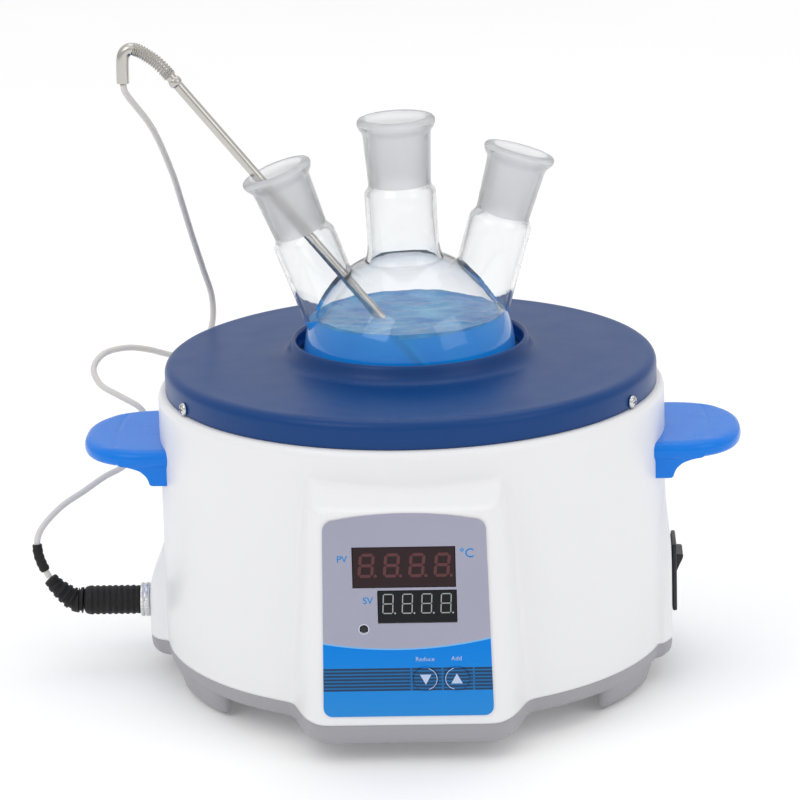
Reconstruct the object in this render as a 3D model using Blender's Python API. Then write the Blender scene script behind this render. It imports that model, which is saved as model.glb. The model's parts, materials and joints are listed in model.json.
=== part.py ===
"""Three-neck round bottom flask in its digital heating mantle, with the temperature probe in the left neck.

Everything is written in millimetres and scaled to metres when a mesh is made. +Z is up, the control
panel faces -Y, and the mantle's axis is the Z axis with the floor at z = 0.
"""

import math

import bmesh
import bpy
import numpy as np
from mathutils import Matrix, Vector

# ---- driving dimensions, mm ----
MM = 0.001
SEG = 48                     # sides of the large round parts
R_HOUSING = 126.5            # outer radius of the white housing
WALL = 3.0                   # housing wall
R_COVER = 122.8              # outer radius of the top cover
Z_TOP = 162.5                # top edge of the cover above the floor
Z_SKIRT = 148.9              # bottom of the cover's skirt
R_SPIGOT = 120.0             # upstand of the housing inside the skirt
Z_PARTING = 20.0             # bottom edge of the housing
Z_TRAY = 12.1                # underside of the base tray
Z_TRAY_BOX = 9.6             # its underside below the control box
FACE_Y = -145.5              # front face of the control box
REAR_Y = 143.0               # face of the rear connector box
R_FOOT_CIRCLE = 111.6        # where the rubber feet stand
GAP = 0.3                    # clearance between pieces that touch

CENTRE = Vector((0.0, 0.0, 163.1))   # centre of the flask's bulb
R_BULB = 53.0
R_BULB_IN = 50.6
LEVEL = 20.3                 # liquid level above the centre
LEAN, TURN, TILT = (math.radians(a) for a in (2.0, 8.5, 18.5))
NECK_TOP = 120.3             # centre neck rim above the centre
SIDE_OFFSET = 27.9           # where a side neck's axis crosses the equator plane
SIDE_TOP = 104.3             # side neck rim along its own axis
PROBE_DIR = Vector((-0.6242, -0.022, 0.7809)).normalized()
PROBE_TIP = CENTRE + Vector((11.0, -4.9, -11.2))
SHAFT_LEN = 203.0
R_SHAFT = 2.5

PLUG_Y, PLUG_Z = 6.0, 33.6  # axis of the sensor socket on the left pod
POD_X = -135.4               # outer face of the left pod
ROCKER_X, ROCKER_Y, ROCKER_Z = 122.6, -5.0, 48.5
ROCKER_REST = math.radians(10.0)
SWITCH_X = 129.0             # face of the right pod
KEY_Z, KEY_X = 43.2, (8.5, 23.2)
R_KEY = 5.9
LED_X, LED_Z = -20.1, 68.2
PV = (-24.6, 23.5, 88.8, 108.4)      # x0, x1, z0, z1 of the upper display
SV = (-13.1, 23.8, 71.2, 87.0)       # the same for the lower display

COLOURS = {
    "glass": (0.86, 0.90, 0.92), "liquid": (0.03, 0.36, 0.75), "steel": (0.62, 0.62, 0.60),
    "navy": (0.02, 0.11, 0.33), "white": (0.86, 0.87, 0.88), "grey": (0.42, 0.44, 0.47),
    "blue": (0.05, 0.28, 0.85), "black": (0.02, 0.02, 0.022), "cord": (0.75, 0.74, 0.72),
    "cloth": (0.80, 0.78, 0.72), "wool": (0.85, 0.80, 0.62), "element": (0.35, 0.28, 0.22),
    "panel": (0.55, 0.56, 0.66), "board": (0.03, 0.22, 0.10), "copper": (0.55, 0.30, 0.12),
}
METALS = {"steel", "copper"}


def clear_scene():
    for obj in list(bpy.data.objects):
        bpy.data.objects.remove(obj, do_unlink=True)


def material(kind):
    """One Principled material per colour name."""
    found = bpy.data.materials.get(kind)
    if found:
        return found
    found = bpy.data.materials.new(kind)
    found.use_nodes = True
    shader = found.node_tree.nodes["Principled BSDF"]
    shader.inputs["Base Color"].default_value = (*COLOURS[kind], 1.0)
    shader.inputs["Metallic"].default_value = 1.0 if kind in METALS else 0.0
    shader.inputs["Roughness"].default_value = 0.35
    return found


def make(name, verts, faces, kind, helper=False):
    """A closed mesh from millimetre points, with its faces turned outward."""
    mesh = bpy.data.meshes.new(name)
    mesh.from_pydata([Vector(v) * MM for v in verts], [], faces)
    shape = bmesh.new()
    shape.from_mesh(mesh)
    bmesh.ops.recalc_face_normals(shape, faces=shape.faces)
    if shape.calc_volume(signed=True) < 0:
        bmesh.ops.reverse_faces(shape, faces=shape.faces)
    shape.to_mesh(mesh)
    shape.free()
    obj = bpy.data.objects.new(name, mesh)
    bpy.context.scene.collection.objects.link(obj)
    obj.data.materials.append(material(kind))
    if helper:
        obj.hide_render = True
        obj.display_type = "WIRE"
    return obj


def boolean(target, tool, operation="DIFFERENCE"):
    modifier = target.modifiers.new(tool.name, "BOOLEAN")
    modifier.operation = operation
    modifier.solver = "EXACT"
    modifier.object = tool
    tool.hide_render = True
    tool.display_type = "WIRE"


def cut(target, *tools):
    for tool in tools:
        boolean(target, tool)


def join(target, *tools):
    for tool in tools:
        boolean(target, tool, "UNION")


def ring_faces(rings, closed_profile=True):
    """Faces between neighbouring rings of vertex numbers; a ring of one vertex is a pole."""
    faces = []
    pairs = list(zip(rings, rings[1:]))
    if closed_profile:
        pairs.append((rings[-1], rings[0]))
    for a, b in pairs:
        if len(a) == 1 and len(b) == 1:
            continue
        count = max(len(a), len(b))
        for i in range(count):
            j = (i + 1) % count
            face = [a[i % len(a)], a[j % len(a)], b[j % len(b)], b[i % len(b)]]
            faces.append(list(dict.fromkeys(face)))
    return faces


def lathe(name, profile, kind, segments=SEG, matrix=None, helper=False):
    """Turns a closed (radius, height) outline about the Z axis, then places it with matrix."""
    verts, rings = [], []
    for r, z in profile:
        count = 1 if r < 1e-6 else segments
        rings.append(list(range(len(verts), len(verts) + count)))
        for i in range(count):
            a = 2 * math.pi * i / segments
            verts.append(Vector((r * math.cos(a), r * math.sin(a), z)))
    if matrix is not None:
        verts = [matrix @ v for v in verts]
    return make(name, verts, ring_faces(rings), kind, helper)


def rod(name, r, length, kind, matrix, segments=24, helper=False):
    profile = [(0, 0), (r, 0), (r, length), (0, length)]
    return lathe(name, profile, kind, segments, matrix, helper)


def frames(points):
    """A point and two side directions at each point of a path, with no twist along it."""
    points = [Vector(p) for p in points]
    last = len(points) - 1
    tangents = [(points[min(i + 1, last)] - points[max(i - 1, 0)]).normalized() for i in range(last + 1)]
    side = tangents[0].orthogonal().normalized()
    found = []
    for point, tangent in zip(points, tangents):
        side = (side - tangent * side.dot(tangent)).normalized()
        found.append((point, side, tangent.cross(side)))
    return found


def sweep(name, points, radii, kind, sides=12, bore=None, helper=False):
    """A round bar along a path, solid, or a tube if bore gives its inner radius."""
    if not hasattr(radii, "__len__"):
        radii = [radii] * len(points)
    verts, rings = [], []
    found = list(zip(frames(points), radii))

    def ring(place, radius):
        point, side, up = place
        rings.append(list(range(len(verts), len(verts) + sides)))
        for i in range(sides):
            a = 2 * math.pi * i / sides
            verts.append(point + side * radius * math.cos(a) + up * radius * math.sin(a))

    if bore is None:
        verts.append(Vector(points[0]))
        rings.append([0])
    for place, radius in found:
        ring(place, radius)
    if bore is None:
        rings.append([len(verts)])
        verts.append(Vector(points[-1]))
    else:
        for place, radius in reversed(found):
            ring(place, bore)
    return make(name, verts, ring_faces(rings, bore is not None), kind, helper)


def smooth_path(points, steps):
    """Catmull-Rom points through a few control points."""
    pts = [Vector(p) for p in points]
    pts = [2 * pts[0] - pts[1]] + pts + [2 * pts[-1] - pts[-2]]
    path = []
    for a, b, c, d in zip(pts, pts[1:], pts[2:], pts[3:]):
        for i in range(steps):
            t = i / steps
            path.append(0.5 * (2 * b + (c - a) * t + (2 * a - 5 * b + 4 * c - d) * t**2
                               + (3 * b - a - 3 * c + d) * t**3))
    return path + [pts[-2]]


def hull(name, points, kind="white", helper=True):
    """The convex solid around some points."""
    shape = bmesh.new()
    for p in points:
        shape.verts.new(p)
    made = bmesh.ops.convex_hull(shape, input=shape.verts)
    spare = [v for v in made["geom_interior"] if isinstance(v, bmesh.types.BMVert)]
    bmesh.ops.delete(shape, geom=spare, context="VERTS")
    verts = [v.co.copy() for v in shape.verts]
    shape.verts.index_update()
    faces = [[v.index for v in f.verts] for f in shape.faces]
    shape.free()
    return make(name, verts, faces, kind, helper)


def box(name, x0, x1, y0, y1, z0, z1, kind="white", helper=False):
    corners = [(x, y, z) for x in (x0, x1) for y in (y0, y1) for z in (z0, z1)]
    faces = [(0, 1, 3, 2), (4, 6, 7, 5), (0, 4, 5, 1), (2, 3, 7, 6), (0, 2, 6, 4), (1, 5, 7, 3)]
    return make(name, corners, faces, kind, helper)


def prism(name, outline, z0, z1, kind="white", helper=False, axis="Z"):
    """An outline drawn in XY and raised along Z, or drawn in XZ and pushed along Y."""
    count = len(outline)
    place = (lambda u, v, w: (u, v, w)) if axis == "Z" else (lambda u, v, w: (u, w, v))
    verts = [place(u, v, z0) for u, v in outline] + [place(u, v, z1) for u, v in outline]
    faces = [list(range(count))[::-1], list(range(count, 2 * count))]
    faces += [[i, (i + 1) % count, count + (i + 1) % count, count + i] for i in range(count)]
    return make(name, verts, faces, kind, helper)


def sector(name, r0, r1, a0, a1, z0, z1, kind, steps=5, helper=False):
    """A curved block between two radii and two angles in degrees."""
    angles = [math.radians(a0 + (a1 - a0) * i / steps) for i in range(steps + 1)]
    outline = [(r1 * math.cos(a), r1 * math.sin(a)) for a in angles]
    outline += [(r0 * math.cos(a), r0 * math.sin(a)) for a in reversed(angles)]
    return prism(name, outline, z0, z1, kind, helper)


def along(point, direction):
    """The matrix that puts the lathe's Z axis on a direction, starting at a point."""
    turn = Vector(direction).to_track_quat("Z", "Y").to_matrix().to_4x4()
    return Matrix.Translation(Vector(point)) @ turn


def move_origin(obj, point):
    """Puts the object's origin on its joint axis without moving its mesh."""
    point = Vector(point) * MM
    obj.data.transform(Matrix.Translation(-point))
    obj.location = point


def arc(radius, start, end, steps, centre_z=CENTRE.z):
    """Outline points of a bowl: angles in degrees, measured from straight down."""
    found = []
    for i in range(steps + 1):
        a = math.radians(start + (end - start) * i / steps)
        found.append((radius * math.sin(a), centre_z - radius * math.cos(a)))
    return found


# ---- housing, tray and cover ----

def front_box(name, grow, low, face_top, crest, back):
    """The convex control box. grow is the offset from its outer surface."""
    g = grow
    points = []
    for s in (-1, 1):
        points += [(s * (44.3 + g * 0.6), FACE_Y - g, low), (s * (49.5 + g), -139.4 - g * 0.6, low),
                   (s * (57.7 + g), -112.0, low), (s * (57.7 + g), back, low)]
        points += [(s * (41.5 + g * 0.6), FACE_Y - g, face_top), (s * (46.0 + g), -139.4 - g * 0.6, face_top),
                   (s * (50.0 + g), back, face_top)]
        points += [(s * (46.0 + g), -121.0 - g * 0.3, crest), (s * (46.0 + g), back, crest)]
    return hull(name, points)


def left_pod(name, grow, low, back=-105.0):
    g = grow
    points = [(POD_X - g, y, z) for y in (-10 - g, 22 + g) for z in (low, 47 + g)]
    points += [(-126.5 - g, y, low) for y in (-23 - g, 35 + g)] + [(back, y, low) for y in (-23 - g, 35 + g)]
    points += [(-126.0 - g, y, 65 + g) for y in (-9 - g, 21 + g)] + [(back, y, 69 + g) for y in (-11 - g, 23 + g)]
    return hull(name, points)


def right_pod(name, grow, low, back=105.0):
    g = grow
    points = [(SWITCH_X + g, y, z) for y in (-26 - g, 20 + g) for z in (low, 70 + g)]
    points += [(122.0 + g, y, low) for y in (-38 - g, 34 + g)] + [(back, y, low) for y in (-38 - g, 34 + g)]
    points += [(124.5 + g, y, 96 + g) for y in (-24 - g, 18 + g)] + [(back, y, 100 + g) for y in (-24 - g, 18 + g)]
    return hull(name, points)


def rear_box(name, grow, low, back=100.0):
    g = grow
    points = [(s * (40 + g), REAR_Y + g, z) for s in (-1, 1) for z in (low, 66 + g)]
    points += [(s * (50 + g), 116, low) for s in (-1, 1)] + [(s * (50 + g), back, low) for s in (-1, 1)]
    points += [(s * (38 + g), 121.5 + g, 82 + g) for s in (-1, 1)] + [(s * (40 + g), back, 84 + g) for s in (-1, 1)]
    return hull(name, points)


def housing():
    r, s = R_HOUSING, R_SPIGOT
    profile = [(r, Z_PARTING), (r, 145.2), (r - 0.8, 147.4), (r - 2.4, Z_SKIRT - GAP), (s, Z_SKIRT - GAP),
               (s, 157.2), (s - WALL, 157.2), (s - WALL, 141.0), (r - WALL, 136.5), (r - WALL, Z_PARTING)]
    body = lathe("housing", profile, "white")
    join(body, front_box("box_outer", 0, Z_PARTING, 126.0, 132.0, -100.0), left_pod("pod_outer_l", 0, Z_PARTING),
         right_pod("pod_outer_r", 0, Z_PARTING), rear_box("box_rear", 0, Z_PARTING))
    core = [(0, 10), (r - WALL, 10), (r - WALL, 136.5), (s - WALL, 141.0), (s - WALL, 170), (0, 170)]
    cut(body, lathe("core", core, "white", helper=True),
        front_box("box_inner", -WALL, 10, 123.0, 128.4, -90.0), left_pod("pod_inner_l", -WALL, 10, -95),
        right_pod("pod_inner_r", -WALL, 10, 95), rear_box("box_rear_in", -WALL, 10, 90))
    for i, angle in enumerate((45, 135, 225, 315)):
        a = math.radians(angle)
        foot = Vector((118.0 * math.cos(a), 118.0 * math.sin(a), Z_PARTING + GAP))
        join(body, rod(f"boss_{i}", 6.4, 30.0, "white", Matrix.Translation(foot), 16, True))
        cut(body, rod(f"boss_hole_{i}", 1.95, 24.0, "white", Matrix.Translation(foot - Vector((0, 0, 2))), 16, True))
    return body


def pierce_housing(body):
    y0, y1 = FACE_Y - 2, FACE_Y + WALL + 2
    for name, (a, b, c, d) in (("pv_hole", PV), ("sv_hole", SV)):
        cut(body, box(name, a - 0.4, b + 0.4, y0, y1, c - 0.4, d + 0.4, helper=True))
    holes = [(x, KEY_Z, R_KEY + 0.4) for x in KEY_X] + [(LED_X, LED_Z, 2.3)]
    for i, (x, z, r) in enumerate(holes):
        cut(body, rod(f"face_hole_{i}", r, y1 - y0, "white", along((x, y0, z), (0, 1, 0)), 24, True))
    cut(body, box("switch_hole", SWITCH_X - 6, SWITCH_X + 4, ROCKER_Y - 11.1, ROCKER_Y + 11.1,
                  ROCKER_Z - 16.2, ROCKER_Z + 16.2, helper=True))
    cut(body, rod("socket_hole", 6.3, 9, "white", along((POD_X - 2, PLUG_Y, PLUG_Z), (1, 0, 0)), 24, True))
    cut(body, box("inlet_hole", -29.0, -0.4, REAR_Y - 8, REAR_Y + 2, 33.6, 54.4, helper=True))
    cut(body, rod("fuse_hole", 6.3, 10, "white", along((22, REAR_Y - 8, 44), (0, 1, 0)), 24, True))
    for i, (direction, point) in enumerate(cover_screw_places()):
        cut(body, rod(f"skirt_pilot_{i}", 1.95, 12, "white", along(point - direction * 8, direction), 16, True))
    for i, (x, y) in enumerate(handle_screw_places()):
        way = math.copysign(1, x)
        cut(body, rod(f"handle_hole_{i}", 2.0, 14, "white", along((way * 116, y, 120.6), (way, 0, 0)), 16, True))


def cover_screw_places():
    """Outward direction and skirt point of each screw in the cover's skirt."""
    places = []
    for angle in (62.2, 117.8, 242.2, 297.8):
        a = math.radians(angle)
        direction = Vector((math.sin(a), -math.cos(a), 0))
        places.append((direction, direction * R_COVER + Vector((0, 0, 152.2))))
    return places


def handle_screw_places():
    return [(s * R_HOUSING, y) for s in (-1, 1) for y in (-20.0, 20.0)]


def top_cover():
    profile = [(R_COVER, Z_SKIRT), (R_COVER, 159.6), (122.0, 161.5), (120.2, 162.5), (92.0, 163.9), (67.0, 165.4),
               (61.0, 167.2), (59.2, 170.2), (58.2, 172.2), (57.0, 172.0), (56.4, 170.6), (56.4, 164.4),
               (62.0, 163.4), (118.0, 160.4), (120.35, 158.9), (120.35, Z_SKIRT)]
    body = lathe("top_cover", profile, "navy")
    for i, (direction, point) in enumerate(cover_screw_places()):
        cut(body, rod(f"skirt_hole_{i}", 1.95, 6, "white", along(point - direction * 4, direction), 16, True))


def screw(name, point, direction, head_r, head_h, shank_r, length, matrix_gap=GAP):
    """A pan head screw: point lies on the surface under the head, direction points out of it."""
    g = matrix_gap
    profile = [(0, -length), (shank_r, -length), (shank_r, g), (head_r, g), (head_r, g + head_h * 0.45),
               (head_r * 0.7, g + head_h), (0, g + head_h)]
    return lathe(name, profile, "steel", 12, along(point, direction))


def leg_angles():
    """Middle angle of each leg, degrees from +X."""
    return (-28.3, 28.3, 151.7, 208.3)


def base_tray():
    body = lathe("base_tray", [(0, Z_TRAY), (121.5, Z_TRAY), (124.5, Z_TRAY + 2.4), (126.2, Z_PARTING - GAP),
                               (0, Z_PARTING - GAP)], "grey")
    top = Z_PARTING - GAP
    slabs = (front_box("tray_front", -0.4, Z_TRAY_BOX, 126, 132, -95), left_pod("tray_left", -0.4, Z_TRAY + 2.2),
             right_pod("tray_right", -0.4, Z_TRAY + 2.2), rear_box("tray_rear", -0.4, Z_TRAY))
    lid = box("tray_lid", -300, 300, -300, 300, top, 300, helper=True)
    pockets = (front_box("pocket_front", -4.2, 15, 123, 128, -80), left_pod("pocket_left", -4.2, 17.4, -95),
               right_pod("pocket_right", -4.2, 17.4, 95), rear_box("pocket_rear", -4.2, 15, 80))
    for slab in slabs:
        join(body, slab)
    for i, middle in enumerate(leg_angles()):
        join(body, sector(f"leg_{i}", 118.6, 125.6, middle - 12.5, middle + 12.5, 1.0, 14, "grey", helper=True))
    cut(body, lid, rod("pocket", 121.0, 20, "grey", Matrix.Translation((0, 0, 15.1)), SEG, True), *pockets)
    for i, angle in enumerate((45, 135, 225, 315)):
        a = math.radians(angle)
        foot = Vector((118.0 * math.cos(a), 118.0 * math.sin(a), 5))
        cut(body, rod(f"tray_hole_{i}", 1.95, 20, "grey", Matrix.Translation(foot), 16, True))


def feet_and_tray_screws():
    for i, middle in enumerate(leg_angles()):
        a = math.radians(middle)
        foot = Matrix.Translation((R_FOOT_CIRCLE * math.cos(a), R_FOOT_CIRCLE * math.sin(a), 0))
        outline = [(0, 0), (6.2, 0), (6.6, 0.5), (6.6, Z_TRAY - GAP), (0, Z_TRAY - GAP)]
        lathe(f"rubber_foot_{i + 1}", outline, "black", 20, foot)
    for i, angle in enumerate((45, 135, 225, 315)):
        a = math.radians(angle)
        point = (118.0 * math.cos(a), 118.0 * math.sin(a), Z_TRAY)
        screw(f"tray_screw_{i + 1}", point, (0, 0, -1), 3.4, 2.2, 1.6, 26.0)


def handle(name, side):
    """A shelf-like grip: a rounded plate, a deeper root against the housing, a finger recess below."""
    def plan(inset, root):
        outline = []
        for i in range(15):
            a = math.pi / 2 - math.pi * i / 14
            c, s = math.cos(a), math.sin(a)
            x = abs(c) ** (2 / 2.5) * (38.5 - inset) + 126.0
            if x > root:
                outline.append((x, math.copysign(abs(s) ** (2 / 2.5), s) * (40 - inset)))
        outline = [(root, outline[0][1])] + outline + [(root, outline[-1][1])]
        return [(side * x, y) for x, y in outline]
    plate = prism(name, plan(0, 112), 117.0, 125.2, "blue")
    bevel = plate.modifiers.new("edge", "BEVEL")
    bevel.width, bevel.segments, bevel.limit_method, bevel.angle_limit = 1.6 * MM, 2, "ANGLE", math.radians(50)
    root = [(side * x, y, z) for x in (112, 130.2) for y in (-39.0, 39.0) for z in (107.5, 118.0)]
    root += [(side * 134, y, 118.0) for y in (-38.0, 38.0)]
    join(plate, hull(f"{name}_root", root, "blue"))
    barrel = [(0, 90), (R_HOUSING + GAP, 90), (R_HOUSING + GAP, 140), (0, 140)]
    cut(plate, lathe(f"{name}_barrel", barrel, "white", helper=True),
        prism(f"{name}_recess", plan(4.5, 141), 110.0, 120.6, "blue", True))
    for i, (x, y) in enumerate(handle_screw_places()):
        if x * side > 0:
            cut(plate, rod(f"{name}_pilot_{i}", 2.0, 20, "white", along((side * 118, y, 120.6), (side, 0, 0)), 16, True))


def handles():
    for name, side in (("handle_left", -1), ("handle_right", 1)):
        handle(name, side)
        for i, y in enumerate((-20.0, 20.0)):
            seat = math.sqrt((R_HOUSING - WALL) ** 2 - 25.0**2) - 0.4
            screw(f"{name}_screw_{i + 1}", (side * seat, y, 120.6), (-side, 0, 0), 3.6, 2.6, 1.6, 15.5)


# ---- heater ----

def heater():
    bowl = [(0, CENTRE.z - 56.5)] + arc(56.5, 9, 60, 6) + [(58.3, 151.6), (58.5, 157.3), (70.0, 157.3),
            (70.0, 160.3), (56.2, 160.3), (55.4, 157.0), (55.2, 151.6)] + arc(53.6, 60, 9, 6) + [(0, CENTRE.z - 53.6)]
    lathe("heating_bowl", bowl, "cloth", 32)
    wool = [(0, CENTRE.z - 83)] + arc(83, 14, 85.6, 6) + [(64.2, 156.6), (64.2, 149.0)]
    wool += arc(62.5, 60, 10, 5) + [(0, CENTRE.z - 62.5)]
    lathe("insulation", wool, "wool", 32)
    shell = [(0, CENTRE.z - 85.8)] + arc(85.8, 14, 84, 6) + [(86.4, 157.8), (117.5, 157.8), (117.5, 158.9),
             (84.9, 158.9), (84.7, 156.0)] + arc(84.5, 84, 14, 6) + [(0, CENTRE.z - 84.5)]
    lathe("inner_shell", shell, "steel", 32)
    turns, path = 4, []
    for i in range(turns * 16 + 1):
        a = math.radians(14 + 44 * i / (turns * 16))
        b = 2 * math.pi * i / 16
        path.append(CENTRE + Vector((59.5 * math.sin(a) * math.cos(b), 59.5 * math.sin(a) * math.sin(b),
                                     -59.5 * math.cos(a))))
    sweep("heating_element", path, 1.5, "element", 5)


# ---- flask, liquid and probe ----

def flask_matrix():
    return Matrix.Translation(CENTRE) @ Matrix.Rotation(-LEAN, 4, "Y") @ Matrix.Rotation(TURN, 4, "Z")


def neck_matrices():
    """Lathe matrices of the centre, left and right necks."""
    found = [flask_matrix()]
    for side in (-1, 1):
        place = Matrix.Translation((side * SIDE_OFFSET, 0, 0)) @ Matrix.Rotation(side * TILT, 4, "Y")
        found.append(flask_matrix() @ place)
    return found


CENTRE_OUT = [(0, 30), (19.5, 46), (17.8, 54), (17.8, 83), (15.3, 86), (17.3, 113.5), (19.2, 116), (19.5, 118.6),
              (18.4, NECK_TOP), (0, NECK_TOP)]
CENTRE_IN = [(0, 20), (17.2, 44), (15.6, 54), (15.6, 82), (13.0, 86), (14.7, NECK_TOP - 1), (15.4, NECK_TOP + 1),
             (0, NECK_TOP + 1)]
SIDE_OUT = [(0, 8), (15.9, 8), (15.9, 67), (13.3, 70.3), (14.9, 98.0), (17.4, 100.2), (17.9, 102.6),
            (17.0, SIDE_TOP), (0, SIDE_TOP)]
SIDE_IN = [(0, 6), (14.0, 6), (14.0, 66), (10.95, 70.3), (12.45, SIDE_TOP - 1), (13.2, SIDE_TOP + 1),
           (0, SIDE_TOP + 1)]


def ball(name, radius, kind, helper=False):
    """A round bulb standing on the flask's own axis."""
    profile = [(0, -radius)]
    for i in range(1, 15):
        a = math.pi * i / 15
        profile.append((radius * math.sin(a), -radius * math.cos(a)))
    return lathe(name, profile + [(0, radius)], kind, 30, flask_matrix(), helper)


def flask_and_liquid():
    flask = ball("flask", R_BULB, "glass")
    inner = ball("bulb_inside", R_BULB_IN, "glass", True)
    outers, inners = [], []
    for name, matrix in zip(("centre", "left", "right"), neck_matrices()):
        shapes = (CENTRE_OUT, CENTRE_IN) if name == "centre" else (SIDE_OUT, SIDE_IN)
        turned = matrix @ Matrix.Rotation(math.radians(3.7), 4, "Z")   # keeps edges from coinciding with the bulb's
        outers.append(lathe(f"neck_{name}", shapes[0], "glass", 20, turned, True))
        inners.append(lathe(f"bore_{name}", shapes[1], "glass", 20, turned, True))
    join(flask, *outers)
    join(inner, *inners, rod("neck_base_relief", 3.0, 86, "glass", along(PROBE_TIP, PROBE_DIR), 12, True))
    cut(flask, inner)
    liquid = ball("liquid", R_BULB_IN - 0.35, "liquid")
    z = CENTRE.z + LEVEL
    start = PROBE_TIP - PROBE_DIR * 0.6
    cut(liquid, box("air", -90, 90, -90, 90, z, z + 90, helper=True),
        rod("probe_channel", R_SHAFT + 0.5, 90, "liquid", along(start, PROBE_DIR), 16, True))


def probe_point(distance):
    return PROBE_TIP + PROBE_DIR * distance


def elbow_path():
    """The bent grip at the shaft's top: a spring-wound run that turns over to point down."""
    top = probe_point(SHAFT_LEN)
    side = Vector((-0.9997, -0.022, 0)).normalized()
    offsets = [(0, 0), (4.4, 4.6), (9.0, 8.0), (13.4, 10.6), (16.8, 11.2), (19.3, 9.8), (20.6, 6.8), (20.9, 2.0),
               (21.0, -5.5)]
    return [top + side * a + Vector((0, 0, b)) for a, b in offsets]


def probe():
    shaft = [(0, 0), (1.6, 0.3), (R_SHAFT, 1.6), (R_SHAFT, SHAFT_LEN - GAP), (0, SHAFT_LEN - GAP)]
    made = [lathe("probe_shaft", shaft, "steel", 16, along(PROBE_TIP, PROBE_DIR))]
    ribs = []
    for i in range(6):
        ribs += [(3.4, 2.4 * i), (3.4, 2.4 * i + 1.4), (3.05, 2.4 * i + 1.7), (3.05, 2.4 * i + 2.1)]
    start = probe_point(SHAFT_LEN - 16.0)
    spring = ribs + [(3.4, 14.4), (2.85, 14.4), (2.85, 0)]
    made.append(lathe("probe_spring", spring, "steel", 12, along(start, PROBE_DIR)))
    made.append(sweep("probe_elbow", smooth_path(elbow_path(), 2), 3.35, "steel", 12))
    for obj in made:
        move_origin(obj, PROBE_TIP)


# ---- sensor lead ----

def lead():
    start = elbow_path()[-1] + Vector((0, 0, -0.4))
    upper = [start, start + Vector((1.5, 2, -6)), (-124.6, 4, 279), (-117.6, 20.0, 254), (-114.6, 38.0, 233.0),
             (-111.8, 56.0, 211.8), (-108.6, 74.0, 190.4), (-106.0, 90.0, 172.0), (-106.8, 102.0, 156.0),
             (-110.0, 107.0, 144.0)]
    sweep("lead_upper", smooth_path(upper, 3), 1.6, "cord", 6)
    lower = [(-110.3, 107.4, 143.0), (-113.2, 109.2, 136.6), (-120.0, 106.5, 134.0), (-130.4, 98.0, 138.0), (-141.0, 91.0, 142.9),
             (-151.5, 83.0, 146.0), (-162.0, 75.0, 145.2), (-166.8, 67.0, 139.4), (-162.5, 59.5, 132.6),
             (-151.7, 53.5, 127.8), (-141.5, 49.5, 122.5), (-137.5, 48.0, 113.0), (-141.5, 47.5, 101.0),
             (-152.0, 46.5, 92.0), (-161.0, 43.0, 88.0), (-171.0, 34.5, 83.0), (-181.0, 24.5, 78.6),
             (-188.5, 15.5, 72.9), (-192.2, 9.5, 67.9), (-192.8, 6.6, 62.0), (-190.9, 6.0, 53.7), (-187.4, 6.0, 46.3)]
    path = smooth_path(lower, 3)
    sweep("lead_lower", path, 1.6, "cord", 6)
    sleeve = [(-192.9, 6.9, 63.6), (-192.4, 6.2, 58.6), (-190.9, 6.0, 53.7), (-189.2, 6.0, 49.9)]
    sweep("lead_sleeve", smooth_path(sleeve, 2), 2.7, "black", 8, bore=2.1)
    boot = smooth_path([(-187.0, 6, 45.5), (-184.0, 6, 41.7), (-179.4, 6, 37.3), (-174.6, 6, 34.0),
                        (-170.6, 6, 33.6)], 2) + [Vector((-170.2, 6, 33.6))]
    radii = [3.2 + 2.4 * i / (len(boot) - 1) for i in range(len(boot))]
    sweep("plug_boot", boot, radii, "black", 12)
    place = along((POD_X - 34.4, PLUG_Y, PLUG_Z), (1, 0, 0))
    body = [(0, 0), (6.2, 0), (7.4, 1.4)]
    for i in range(5):
        body += [(7.4, 4.0 + 4 * i), (7.0, 4.6 + 4 * i), (7.0, 5.8 + 4 * i), (7.4, 6.4 + 4 * i)]
    body += [(7.4, 27.6), (6.6, 28.8), (0, 28.8)]
    lathe("sensor_plug", body, "black", 16, place)
    ring = [(6.3, 29.2), (8.4, 29.2), (8.7, 29.8), (8.7, 33.2), (8.4, 33.9), (6.3, 33.9)]
    lathe("plug_ring", ring, "steel", 16, place)
    socket = [(0, 29.4), (5.8, 29.4), (5.8, 46.0), (0, 46.0)]
    lathe("sensor_socket", socket, "steel", 16, place)
    nut = [(6.4, 37.9), (8.6, 37.9), (8.6, 40.6), (6.4, 40.6)]
    lathe("socket_nut", nut, "steel", 12, place)


# ---- control panel and electronics ----

def panel():
    outline = [(-39.3, 24.5), (39.3, 24.5), (40.3, 25.5), (38.0, 121.4), (37.0, 122.5), (22.5, 122.9), (18.5, 125.2),
               (-4.0, 125.2), (-8.0, 122.9), (-37.0, 122.5), (-38.0, 121.4), (-40.3, 25.5)]
    sheet = prism("control_panel", outline, FACE_Y - 0.8, FACE_Y - GAP, "panel", axis="Y")
    for name, (a, b, c, d) in (("pv_window", PV), ("sv_window", SV)):
        cut(sheet, box(name, a - 0.35, b + 0.35, FACE_Y - 4, FACE_Y + 2, c - 0.35, d + 0.35, helper=True))
    for i, (x, z, r) in enumerate([(x, KEY_Z, R_KEY + 0.35) for x in KEY_X] + [(LED_X, LED_Z, 2.25)]):
        cut(sheet, rod(f"panel_hole_{i}", r, 8, "panel", along((x, FACE_Y - 4, z), (0, 1, 0)), 24, True))


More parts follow.
